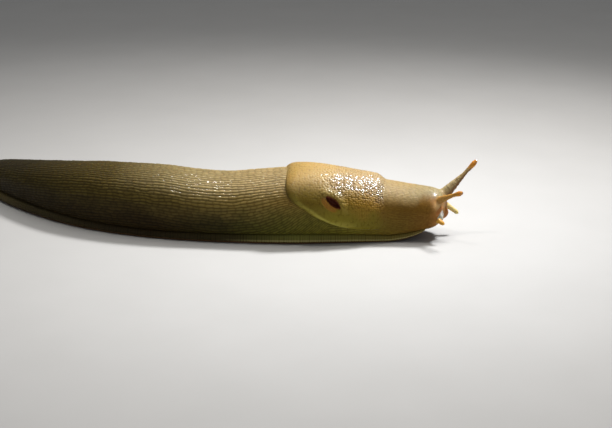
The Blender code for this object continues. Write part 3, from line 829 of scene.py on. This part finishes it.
in_head = points[:, 0] > on_body(HEAD_START, 0, 0)[0]
head_points = np.flatnonzero(in_head)
seam_tree = tree_of(points, np.flatnonzero((away > NEW_POINT) & in_head & (own["feeler"] < 0.6)))
seam_away = np.array([seam_tree.find(points[number])[2] for number in head_points])
seam_reach = np.where(points[head_points, 2] > ROOT_LEVEL, ROOT_REACH, SEAM_REACH)
softness = np.zeros(len(points))
softness[head_points] = 1 - ease(0.35, 1.0, seam_away / seam_reach)
edges = read(joined.edges, "vertices", 2)
edges = edges[(softness[edges] > 0).any(axis=1)]
ends = np.concatenate([edges[:, 0], edges[:, 1]])
others = np.concatenate([edges[:, 1], edges[:, 0]])
degree = np.maximum(np.bincount(ends, minlength=len(points)), 1)
for _ in range(SEAM_ROUNDS):
    sums = [np.bincount(ends, points[others, axis], len(points)) for axis in range(3)]
    mean = np.stack(sums, axis=1) / degree[:, None]
    points = points + (mean - points) * (SEAM_RATE * softness)[:, None]

work = bmesh.new()
work.from_mesh(joined)
bmesh.ops.triangulate(work, faces=[face for face in work.faces if len(face.verts) > 4])
work.to_mesh(joined)
work.free()
joined.shade_smooth()

# The face: the colour of the roots spreads over the muzzle, and a pale ragged hollow between the
# lip folds is the mouth, sunk into the skin. It is grey with painted shade on its near side and
# white with painted light on its far side.
FACE_REACH = 3.2 * MM
CHEEK_RADIUS = 1.5 * MM
MOUTH_TOP = 11.9 * MM
MOUTH_BOTTOM = 7.2 * MM
MOUTH_SIDE = -3.4 * MM         # the middle of the mouth, to the left of the spine
MOUTH_DEPTH = 0.22 * MM
FURROW_DEPTH = 0.12 * MM

head_origin = on_body(BODY_LENGTH, 0, 0)
face_left = (points - head_origin) @ HEAD_LEFT
face_ahead = (points - head_origin) @ HEAD_FORWARD
face_height = points[:, 2]
face = np.zeros(len(points))
face[head_points] = 1 - ease(0, 1, seam_away / FACE_REACH)
muzzle = ease(-3.2 * MM, -0.6 * MM, face_ahead) * (1 - ease(13.0 * MM, 15.0 * MM, face_height))
face = np.maximum(face, muzzle * in_head) * (1 - 0.9 * ease(15.0 * MM, 16.4 * MM, face_height))
# A painted patch of light on the right cheek, above the lip fold.
cheek_place = head_origin + HEAD_FORWARD * -1.3 * MM + HEAD_LEFT * -5.1 * MM + UP * 13.4 * MM
cheek_away = np.linalg.norm(points - cheek_place, axis=1)

mouth_share = np.clip((MOUTH_TOP - face_height) / (MOUTH_TOP - MOUTH_BOTTOM), 0, 1)
mouth_middle = MOUTH_SIDE + 0.1 * MM * mouth_share
mouth_half = 0.25 * MM + 2.1 * MM * np.minimum(1, mouth_share * 1.7)
mouth_place = (face_left - mouth_middle) / mouth_half
ragged = 0.12 * mottle(face_height / (0.8 * MM), face_left / (3 * MM), 23)
mouth = (1 - ease(0.85, 1.05, np.abs(mouth_place) + ragged)) * ease(0, 0.08, mouth_share)
mouth = mouth * in_head * ease(MOUTH_BOTTOM - 0.8 * MM, MOUTH_BOTTOM, face_height)
mouth = mouth * (face_ahead > -2.2 * MM) * (own["feeler"] < 0.03) * (own["lip"] < 0.5)
furrows = mottle(face_left / (0.5 * MM), face_height / (2.5 * MM), 22)
sunken = mouth * (MOUTH_DEPTH + FURROW_DEPTH * furrows)
points = points - HEAD_FORWARD * sunken[:, None]
joined.vertices.foreach_set("co", points.ravel())

own["face"] = face
own["cheek"] = np.exp(-(cheek_away / CHEEK_RADIUS) ** 2)
own["mouth"] = np.maximum(mouth, own["mouth"])
# The share across the mouth towards its far side, where the painted light is brightest.
own["inside"] = ease(-0.8, 1.0, mouth_place)
ring_place = own.pop("turn")


def keep_facts(mesh, facts):
    """Stores one number of each name for each point, for the finish to read."""
    for name, values in facts.items():
        fact = mesh.attributes.new(name, "FLOAT", "POINT")
        fact.data.foreach_set("value", np.asarray(values, dtype=np.float32))


keep_facts(joined, own)

# The map OFBake: the body in two strips, the feelers and lips in a strip of their own. A
# face that straddles the end of a ring is laid whole.


def over_faces(mesh, choose, values):
    """The highest or lowest of the values at the corners of a face, for each of its corners."""
    totals = read(mesh.polygons, "loop_total")
    return np.repeat(choose.reduceat(values, np.cumsum(totals) - totals), totals)


def lay_map(mesh, u, v):
    """OFBake, from a place on the map for each corner."""
    bake_map = mesh.uv_layers.new(name="OFBake")
    bake_map.data.foreach_set("uv", np.stack([u, v], axis=1).astype(np.float32).ravel())


corner_points = read(joined.loops, "vertex_index")
corner_u = own["along"][corner_points]
corner_v = ring_place[corner_points]
corner_v = corner_v + (over_faces(joined, np.maximum, corner_v) - corner_v > 0.5)
on_stalk = over_faces(joined, np.maximum, nearest[corner_points]) >= len(source_points[0])
second_half = over_faces(joined, np.minimum, corner_u) >= 0.5
stalk_u = 0.33 + (points[corner_points] - head_origin) @ HEAD_LEFT / (30 * MM)
stalk_v = 0.83 + points[corner_points, 2] / (190 * MM)
body_u = (corner_u - 0.5 * second_half) * 1.9 + 0.01
body_v = corner_v * 0.38 + np.where(second_half, 0.41, 0.01)
lay_map(joined, np.where(on_stalk, stalk_u, body_u), np.where(on_stalk, stalk_v, body_v))

# The skin's finish: wet, olive-brown on the tail, tan towards the head, darker low on the
# flank, orange-brown on the face and the feelers, with dark creases between the tubercles.
# The dark tail and the dark low flank are partly the skin's own colour and partly painted
# shade, and the dark creases are painted shade.

# Colours from the tail (0) to the snout (1). The dark rear half is partly the skin's own colour and partly
# painted shade.
BACK_COLOURS = (
    (0.0, (0.026, 0.018, 0.003)),
    (0.22, (0.034, 0.024, 0.004)),
    (0.42, (0.092, 0.064, 0.012)),
    (0.56, (0.310, 0.235, 0.095)),
    (0.68, (0.395, 0.290, 0.128)),
    (0.8, (0.365, 0.268, 0.120)),
    (0.92, (0.410, 0.290, 0.120)),
    (1.0, (0.330, 0.275, 0.140)),
)
FLANK_COLOURS = (
    (0.0, (0.050, 0.034, 0.005)),
    (0.3, (0.056, 0.041, 0.007)),
    (0.52, (0.135, 0.097, 0.021)),
    (0.68, (0.305, 0.215, 0.057)),
    (0.82, (0.330, 0.190, 0.028)),
    (0.93, (0.200, 0.105, 0.012)),
    (1.0, (0.260, 0.125, 0.018)),
)
# The lowest part of the flank, darker than the flank above it partly as painted shade.
LOW_COLOURS = (
    (0.0, (0.036, 0.026, 0.006)),
    (0.52, (0.034, 0.020, 0.003)),
    (0.62, (0.046, 0.038, 0.006)),
    (0.72, (0.130, 0.122, 0.016)),
    (0.84, (0.205, 0.175, 0.018)),
    (0.93, (0.190, 0.115, 0.014)),
    (1.0, (0.240, 0.100, 0.016)),
)
# The fringe and the sole: dark over the middle of the body, partly their own colour and partly painted
# shade.
FRINGE_COLOURS = (
    (0.0, (0.110, 0.085, 0.034)),
    (0.16, (0.095, 0.072, 0.026)),
    (0.26, (0.050, 0.038, 0.014)),
    (0.5, (0.030, 0.019, 0.006)),
    (0.64, (0.045, 0.036, 0.009)),
    (0.74, (0.175, 0.170, 0.035)),
    (1.0, (0.170, 0.115, 0.025)),
)
NEAR_FEELER = (
    (0.0, (0.380, 0.205, 0.052)),
    (0.3, (0.450, 0.250, 0.060)),
    (0.75, (0.560, 0.280, 0.055)),
    (0.92, (0.640, 0.280, 0.035)),
    (1.0, (0.560, 0.200, 0.025)),
)
# The far feeler: paler than the near one, partly as painted light.
FAR_FEELER = (
    (0.0, (0.500, 0.380, 0.190)),
    (0.3, (0.480, 0.385, 0.205)),
    (0.8, (0.500, 0.345, 0.150)),
    (0.91, (0.760, 0.330, 0.045)),
    (1.0, (0.740, 0.280, 0.030)),
)
# The colour of a painted highlight along the crest of the fringe.
RIDGE_HIGHLIGHT = (0.460, 0.400, 0.160)
# The brown of the foot below the fringe's crest and of the sole: partly its own colour and partly painted
# shade under the curled edge.
SOLE_COLOUR = (0.150, 0.080, 0.036)
FACE_COLOUR = (0.360, 0.160, 0.036)
# The colour of the painted light on the cheek.
CHEEK_LIGHT = (0.760, 0.500, 0.220)
# Under the far feeler: darker, partly its own colour and partly painted shade.
BELLY_COLOUR = (0.230, 0.105, 0.030)
NEAR_LOWER_FEELER = (0.700, 0.370, 0.055)
# The far palp: paler than the near one, partly as painted light.
FAR_LOWER_FEELER = (0.800, 0.650, 0.250)
LIP_COLOUR = (0.380, 0.140, 0.035)
# The mouth's pale colour with painted shade on its near side and painted light on its far side.
MOUTH_SHADE = (0.380, 0.360, 0.270)
MOUTH_LIT = (0.940, 0.910, 0.840)
# The tint of the painted shade in the creases.
CREASE_SHADE = (0.30, 0.26, 0.17)
BORDER_CLOUDS = (9 * MM, 0.22)     # the size of the clouds in a border, and how far they reach
FLESH = {
    "Specular_IOR_Level": 0.10,
    "Subsurface_Weight": 0.12,
    "Subsurface_Radius": (1.0, 0.5, 0.2),
    "Subsurface_Scale": 0.8 * MM,
}


def uneven(paint, size, amount):
    """How far round from the back a place is, its border made uneven in big clouds."""
    return abs(paint.attribute("around")) + (paint.noise(size, detail=3.0) - 0.5) * amount


def hide(paint, along):
    """The colour of the skin above the foot: its back, its flank and its lowest part, the lower two darker
    partly as painted shade.
    """
    height = uneven(paint, *BORDER_CLOUDS)
    back = paint.ramp(along, BACK_COLOURS)
    flank = paint.ramp(along, FLANK_COLOURS)
    side = height - along.rise(0.86, 0.90) * 0.01 - along.rise(0.92, 0.94) * 0.01
    side = (side + along.rise(0.952, 0.968) * 0.14).rise(0.26, 0.60)
    upper = paint.mix(side, back, flank)
    return paint.mix(height.rise(0.58, 0.84), upper, paint.ramp(along, LOW_COLOURS))


paint = Finish("slug_skin", roughness=0.40)
along = paint.attribute("along")
beneath = paint.attribute("under")
crease = 1 - paint.attribute("relief")
speck = paint.noise(1.1 * MM, detail=3.0)
# A painted highlight along the crest of the fringe, from the middle of the body forward.
crest = beneath.rise(0.33, 0.37) * (1 - beneath.rise(0.39, 0.42))
fringe = paint.ramp(along, FRINGE_COLOURS)
fringe = paint.mix(crest * along.rise(0.60, 0.72) * 0.8, fringe, RIDGE_HIGHLIGHT)
# Below the crest, the sole's brown, partly painted shade.
fringe = paint.mix(beneath.rise(0.40, 0.45), fringe, SOLE_COLOUR)
colour = paint.mix(beneath.rise(0.04, 0.13), hide(paint, along), fringe)
# Painted shade in the creases between the tubercles, weaker on the neck and the head.
depth = crease.rise(0.2, 0.95) * (0.80 - 0.30 * along.rise(0.80, 0.90))
colour = paint.darken(depth, colour, CREASE_SHADE)
colour = paint.darken(speck * 0.45, colour, (0.70, 0.68, 0.60))
colour = paint.mix(paint.attribute("face") * 0.80, colour, FACE_COLOUR)
# The painted patch of light on the right cheek.
colour = paint.mix(paint.attribute("cheek") * 0.80, colour, CHEEK_LIGHT)
feeler = paint.attribute("feeler")
far = paint.attribute("far")
# The far feeler's underside is darker, partly as painted shade.
belly = paint.attribute("belly").rise(0.35, 0.70) * (1 - feeler.rise(0.82, 0.90))
far_colour = paint.mix(belly * 0.92, paint.ramp(feeler, FAR_FEELER), BELLY_COLOUR)
upper_colour = paint.mix(far, paint.ramp(feeler, NEAR_FEELER), far_colour)
lower_colour = paint.mix(far, NEAR_LOWER_FEELER, FAR_LOWER_FEELER)
stalk_colour = paint.mix(paint.attribute("lower"), upper_colour, lower_colour)
# Painted shade in the wrinkles of the feelers and the lips.
stalk_colour = paint.darken(crease * 0.5, stalk_colour, (0.45, 0.38, 0.28))
colour = paint.mix(feeler.rise(0.0, 0.16), colour, stalk_colour)
colour = paint.mix(paint.attribute("lip") * 0.85, colour, LIP_COLOUR)
# The mouth's pale colour, grey with painted shade on the near side and white with painted light on the far
# side.
mouth_colour = paint.mix(paint.attribute("inside"), MOUTH_SHADE, MOUTH_LIT)
colour = paint.mix(paint.attribute("mouth"), colour, mouth_colour)
dry = uneven(paint, *BORDER_CLOUDS).rise(0.30, 0.62)
wet = (1 - dry) * (1 - along.rise(0.60, 0.67) * 0.60) * (0.25 + along.rise(0.30, 0.60) * 0.75)
paint.set(
    Base_Color=colour,
    Roughness=0.45 + crease * 0.20,
    Coat_Weight=wet * (0.08 + speck * 0.36),
    Coat_Roughness=0.08,
    Normal=paint.bump(paint.noise(0.35 * MM, detail=2.0), 0.05 * MM),
    **FLESH,
)
joined.materials.clear()
joined.materials.append(paint.material)
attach(skin, "root")
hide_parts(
    "tail", "trunk_rear", "trunk_mid", "trunk_front", "neck", "head", "foot_rear", "foot_mid",
    "foot_front", "upper_tentacle_left", "upper_tentacle_right", "lower_tentacle_left",
    "lower_tentacle_right", "lip_left", "lip_right",
)

# The mantle: a shield of smooth, finely grained golden skin over the front third of the back.
# Its hind edge is a thick rolled fold that overhangs a dark groove, and in front it thins out
# into the neck. The breathing hole is an almond pit with a pale raised rim on the right side.

MANTLE_REAR = 147.5 * MM
MANTLE_FRONT = 183.5 * MM
MANTLE_REACH = 0.86
MANTLE_SWEEP = 62 * MM
MANTLE_SWEEP_POWER = 6
MANTLE_BROW = 4 * MM
THICKNESS_REAR = 1.5 * MM
THICKNESS_FRONT = 0.9 * MM
BROW_THICKNESS = 0.5 * MM     # more of it in front, on top of the back
EDGE_SINKING = 0.12 * MM
EDGE_ROUNDING = 2.2 * MM
EDGE_OVERHANG = 0.55 * MM
CREST_SLOPE = 1.6             # how much longer the hind edge's slope is on top of the back
HALF_GIRTH = 30 * MM
GRAIN_SIZE = 0.85 * MM
GRAIN_RELIEF = 0.20 * MM
SWELL_RELIEF = 0.13 * MM
FOLD_DEPTH = 0.16 * MM
FOLD_WIDTH = 0.28             # in millimetres, as the folds are
RIM_HEIGHT = 0.5 * MM
FLAP_DEPTH = 0.25 * MM
INNER_DEPTH = 0.5 * MM

# Two fine folds that meet above the breathing hole, as millimetres along and round the body.
FOLDS = (
    ((163.8, -14.4), (163.4, -12.3)),
    ((163.4, -12.3), (162.2, -8.0)),
    ((163.4, -12.3), (164.9, -8.0)),
)
COARSE = 6                    # fine steps of the outer side to one step of the inner side
MANTLE_ROWS = 90 * COARSE + 1
MANTLE_COLUMNS = 60 * COARSE + 1


def domes(along, across, size, seed):
    """Small domes side by side on a plane: 1 on top of each, 0 where they meet."""
    jitter = np.random.default_rng(seed).uniform(0.1, 0.9, (128, 128, 2))
    x = along / size
    y = across / size
    column = np.floor(x).astype(int)
    row = np.floor(y).astype(int)
    closest = np.full(np.shape(x), 9.0)
    for i in (-1, 0, 1):
        for j in (-1, 0, 1):
            spot = jitter[(column + i) % 128, (row + j) % 128]
            apart = (column + i + spot[..., 0] - x) ** 2 + (row + j + spot[..., 1] - y) ** 2
            closest = np.minimum(closest, apart)
    return np.clip(1 - closest / 0.55, 0, 1)


def quarter_round(depth):
    return np.sqrt(1 - (1 - np.clip(depth, 0, 1)) ** 2)


turn = np.linspace(-1, 1, MANTLE_ROWS)[:, None]
mantle_girth = (0.7 * turn + 0.3 * np.sin(turn * math.pi / 2)) * MANTLE_REACH
mantle_girth = np.repeat(mantle_girth, MANTLE_COLUMNS, axis=1)
turn = np.linspace(0, 1, MANTLE_COLUMNS)
share = np.broadcast_to(0.55 * turn + 0.45 * (1 - np.cos(turn * math.pi)) / 2, mantle_girth.shape)
rear = MANTLE_REAR + MANTLE_SWEEP * np.abs(mantle_girth) ** MANTLE_SWEEP_POWER
front = MANTLE_FRONT + MANTLE_BROW * mantle_girth ** 2
mantle_place = rear + (front - rear) * share
base = flesh(mantle_place, mantle_girth)
mantle_out = flesh_normals(mantle_place, mantle_girth)

# The margin: rounded behind and below, a gentle slope on top of the back and in front.
rear_rounding = EDGE_ROUNDING * (1 + CREST_SLOPE * np.exp(-(mantle_girth / 0.25) ** 2))
from_rear = (mantle_place - rear) / rear_rounding
on_crest = np.exp(-(mantle_girth / 0.33) ** 2)
from_front = (front - mantle_place) / ((4 - 2.2 * on_crest) * EDGE_ROUNDING)
from_below = (MANTLE_REACH - np.abs(mantle_girth)) * HALF_GIRTH / EDGE_ROUNDING
rear_slope = 1 - (1 - np.clip(from_rear, 0, 1)) ** 2
rear_margin = quarter_round(from_rear) * (1 - on_crest) + rear_slope * on_crest
front_margin = ease(0, 1, from_front)
low_margin = quarter_round(from_below) * front_margin + ease(0, 1.6, from_below) * (1 - front_margin)
margin = rear_margin * front_margin * low_margin
front_thickness = THICKNESS_FRONT + BROW_THICKNESS * on_crest
thickness = (GAP + THICKNESS_REAR * (1 - share) + front_thickness * share) * margin - EDGE_SINKING

# The relief: grains, slow swells, the two folds, and the breathing hole with its rim and flap.
grains = domes(mantle_place, mantle_girth * HALF_GIRTH, GRAIN_SIZE, 41)
chart = np.stack([mantle_place, mantle_girth * HALF_GIRTH], axis=-1) / MM
fold = 0
for start, end in np.array(FOLDS):
    stroke = end - start
    held = np.clip((chart - start) @ stroke / (stroke @ stroke), 0, 1)
    fold_away = np.linalg.norm(chart - start - held[..., None] * stroke, axis=-1)
    fold = np.maximum(fold, np.exp(-(fold_away / FOLD_WIDTH) ** 2))
swells = lumps(base, 7 * MM, 42) + 0.5 * lumps(base, 3.2 * MM, 43)
textured = rear_margin * low_margin * ease(0, 0.35, from_front) * (0.25 + 0.75 * ease(0.2, 0.45, share))
skin_relief = GRAIN_RELIEF * (grains - 0.5) * textured
skin_relief = skin_relief + (SWELL_RELIEF * swells - FOLD_DEPTH * fold) * margin
rim_along, rim_across = hole_chart(base)
rim_away = (np.hypot(rim_along / 1.25, rim_across / 1.9) - 1) / 0.45
above_hole = ease(-0.6, 0.5, rim_across)
rim = np.exp(-rim_away ** 2) * hole_near(base)
pit = hole_mask(base, 0.72, 1.12)
flap = 1 - ease(0.75, 1.1, np.hypot((rim_along + 0.25) / 1.1, (rim_across + 1.2) / 1.25))
flap = flap * hole_near(base) * (1 - pit)
lift = thickness + RIM_HEIGHT * rim * margin * (0.35 + 0.65 * above_hole) + skin_relief
lift = lift - PIT_DEPTH * pit - FLAP_DEPTH * flap
backward = unit(flesh(mantle_place - 0.1 * MM, mantle_girth) - flesh(mantle_place + 0.1 * MM, mantle_girth))
overhang = EDGE_OVERHANG * 4 * rear_margin * (1 - rear_margin) * ease(0, 1, from_front) * (1 - on_crest)
mantle_points = base + mantle_out * lift[..., None] + backward * overhang[..., None]

# The inner side is a coarser grid under the skin, joined to the outer one all round its edge.
coarse = (slice(None, None, COARSE), slice(None, None, COARSE))
inner_depth = INNER_DEPTH + 1.25 * PIT_DEPTH * hole_mask(base[coarse], 1.0, 1.5)
inner = base[coarse] - mantle_out[coarse] * inner_depth[..., None]
fine_index = np.arange(share.size).reshape(share.shape)
coarse_index = share.size + np.arange(inner_depth.size).reshape(inner_depth.shape)


def quads(index):
    corners = (index[:-1, :-1], index[1:, :-1], index[1:, 1:], index[:-1, 1:])
    return np.stack(corners, axis=-1).reshape(-1, 4).tolist()


def border(index):
    """The indices round the edge of a grid, once, in order."""
    return np.concatenate([index[0, :-1], index[:-1, -1], index[-1, :0:-1], index[:0:-1, 0]]).tolist()


faces = quads(fine_index) + quads(coarse_index)
fine_border = border(fine_index)
coarse_border = border(coarse_index)
half = COARSE // 2
for number, here in enumerate(coarse_border):
    there = coarse_border[(number + 1) % len(coarse_border)]
    edge = [fine_border[(number * COARSE + step) % len(fine_border)] for step in range(COARSE + 1)]
    for step in range(COARSE):
        faces.append((edge[step], edge[step + 1], here if step < half else there))
    faces.append((edge[half], there, here))
mantle = solid("mantle_shield", np.concatenate([mantle_points.reshape(-1, 3), inner.reshape(-1, 3)]), faces)
shield = mantle.data
shield.shade_smooth()


def on_shield(outer, inner=None):
    """Values for the points of both sides, the inner side's taken from the outer's if not given."""
    inner = outer[coarse] if inner is None else inner
    return np.concatenate([outer.ravel(), inner.ravel()])


keep_facts(shield, {
    "along": on_shield(mantle_place / BODY_LENGTH),
    "around": on_shield(mantle_girth),
    "relief": on_shield(grains),
    "margin": on_shield(rear_margin * low_margin, 0 * inner_depth),
    "pit": on_shield(pit),
    "rim": on_shield(rim * above_hole),
    "edge": on_shield(np.minimum(from_rear, from_below) * EDGE_ROUNDING / MM),
    "fold": on_shield(fold),
    "flap": on_shield(flap),
    "front": on_shield(1 - front_margin),
})
corner_points = read(shield.loops, "vertex_index")
map_u = on_shield(share * 0.6 + 0.01, share[coarse] * 0.34 + 0.64)
map_v = on_shield(mantle_girth * 0.54 + 0.5)
lay_map(shield, map_u[corner_points], map_v[corner_points])

# The mantle's colours from its hind edge to its front. The darker flank is partly its own colour and partly
# painted shade.
MANTLE_BACK = (
    (0.0, (0.340, 0.215, 0.055)),
    (0.35, (0.425, 0.283, 0.100)),
    (1.0, (0.390, 0.272, 0.125)),
)
MANTLE_FLANK = (
    (0.0, (0.115, 0.078, 0.008)),
    (0.4, (0.170, 0.113, 0.012)),
    (1.0, (0.350, 0.195, 0.025)),
)
MANTLE_LOW = (
    (0.0, (0.235, 0.195, 0.026)),
    (0.5, (0.220, 0.180, 0.013)),
    (1.0, (0.175, 0.138, 0.012)),
)
# A paler band inside the low margin: partly its own colour and partly painted light showing through the
# thin edge.
MARGIN_GLOW = (0.420, 0.375, 0.070)
RIM_COLOUR = (0.420, 0.310, 0.080)
FLAP_COLOUR = (0.290, 0.125, 0.018)
# Inside the breathing hole: partly its own colour and partly painted shade.
PIT_SHADE = (0.190, 0.052, 0.030)
SHADOW_COLOUR = (0.060, 0.045, 0.015)

paint = Finish("mantle_skin", roughness=0.38)
along = paint.attribute("along")
height = uneven(paint, 7 * MM, 0.20)
speck = paint.noise(0.8 * MM, detail=3.0)
grain = paint.attribute("relief")
crease = 1 - grain
granule = grain.rise(0.68, 0.84)
pit_mask = paint.attribute("pit")
front = paint.attribute("front")
edge = paint.attribute("edge")
share_along = along.rise(0.70, 0.91)
back = paint.ramp(share_along, MANTLE_BACK)
# Darker down the flank, partly as painted shade.
colour = paint.mix(height.rise(0.20, 0.55), back, paint.ramp(share_along, MANTLE_FLANK))
colour = paint.mix(height.rise(0.55, 0.80), colour, paint.ramp(share_along, MANTLE_LOW))
# The paler band inside the low margin, partly painted light showing through the thin edge.
margin_glow = edge.rise(0.5, 1.4) * (1 - edge.rise(1.8, 3.4)) * (1 - along.rise(0.79, 0.86))
margin_glow = margin_glow * height.rise(0.45, 0.62) * (0.45 + along.rise(0.76, 0.785) * 0.55)
colour = paint.mix(margin_glow * 0.90, colour, MARGIN_GLOW)
# The neck's colour with an even share of the painted crease shade, for the mantle's front to fade into.
neck_colour = paint.darken(0.24, hide(paint, along), CREASE_SHADE)
colour = paint.mix(front.rise(0.05, 0.80), colour, neck_colour)
# Painted shade in the creases between the grains.
colour = paint.darken(crease.rise(0.45, 1.0) * 0.45, colour, (0.45, 0.38, 0.25))
puddle = paint.noise(3 * MM, detail=2.0).rise(0.36, 0.52) * (1 - front.rise(0.80, 0.98))
puddle = puddle * (along.rise(0.765, 0.785) * 0.25 + along.rise(0.795, 0.82) * 0.75)
wet = (1 - height.rise(0.43, 0.58)) * (1 - pit_mask)
# Painted shade in the gaps between the glinting grains of the wet patch.
grain_gap_shade = puddle * wet * height.rise(0.10, 0.22) * (1 - granule)
colour = paint.darken(grain_gap_shade * 0.50, colour, (0.36, 0.30, 0.22))
colour = paint.darken(speck * 0.35, colour, (0.75, 0.70, 0.60))
# Painted shade in the folds above the breathing hole.
colour = paint.darken(paint.attribute("fold") * 0.5, colour, (0.55, 0.48, 0.34))
colour = paint.mix(paint.attribute("rim") * 0.25, colour, RIM_COLOUR)
colour = paint.mix(paint.attribute("flap") * 0.80, colour, FLAP_COLOUR)
# Painted shade inside the breathing hole, over its real depth.
colour = paint.mix(pit_mask.rise(0.02, 0.35), colour, PIT_SHADE)
shadow = 1 - paint.attribute("margin").rise(0.15, 0.75)
shadow = shadow * (1 - front.rise(0.2, 0.8)) * (0.35 + height.rise(0.20, 0.45) * 0.65)
colour = paint.mix(shadow, colour, SHADOW_COLOUR)
paint.set(
    Base_Color=colour,
    Roughness=0.42 + crease * 0.20,
    Coat_Weight=wet * (0.03 + puddle * granule * 0.97),
    Coat_Roughness=0.05,
    Coat_IOR=2.2,
    Normal=paint.bump(paint.noise(0.25 * MM, detail=2.0), 0.04 * MM),
    **FLESH,
)
shield.materials.append(paint.material)
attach(mantle, "root")
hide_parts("mantle")

# The eyes: a small glossy amber dome at the tip of each long feeler, with a dark spot in it. Its
# rim is set a little way into the end of the bulb.

EYE_RADIUS = 0.82 * UPPER_BULB_RADIUS
EYE_HEIGHT = GAP + 0.55 * MM
EYE_SINKING = 0.25 * MM
EYE_SIDES = 40
AMBER = (0.560, 0.225, 0.030)
EYE_SPOT = (0.050, 0.024, 0.014)


def eye(name, node, tip, ahead):
    """The dome of the eye, set into the end of the bulb."""
    across = unit(np.cross(ahead, UP))
    upward = np.cross(across, ahead)
    turns = np.linspace(0, 2 * math.pi, EYE_SIDES, endpoint=False)[:, None]
    spoke = (across * np.cos(turns) + upward * np.sin(turns)) * EYE_RADIUS
    rings = [tip - ahead * EYE_SINKING + spoke]
    for raised in np.linspace(0, 0.985, 16) * math.pi / 2:
        rings.append(tip + ahead * EYE_HEIGHT * math.sin(raised) + spoke * math.cos(raised))
    made = loft(name, np.stack(rings))
    mesh = made.data
    mesh.shade_smooth()
    places = read(mesh.vertices, "co", 3, float) - tip
    keep_facts(mesh, {"forward": places @ ahead / EYE_HEIGHT})
    corner_places = places[read(mesh.loops, "vertex_index")] / (2.2 * UPPER_BULB_RADIUS)
    lay_map(mesh, corner_places @ across + 0.5, corner_places @ upward + 0.5)
    paint = Finish(name + "_finish", roughness=0.08)
    spot = paint.attribute("forward").rise(0.90, 0.98)
    paint.set(
        Base_Color=paint.mix(spot, AMBER, EYE_SPOT),
        Coat_Weight=1.0,
        Coat_Roughness=0.03,
    )
    mesh.materials.append(paint.material)
    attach(made, "root")
    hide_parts(node)


eye("eye_dome_left", "eye_left", tip_left, ahead_left)
eye("eye_dome_right", "eye_right", tip_right, ahead_right)
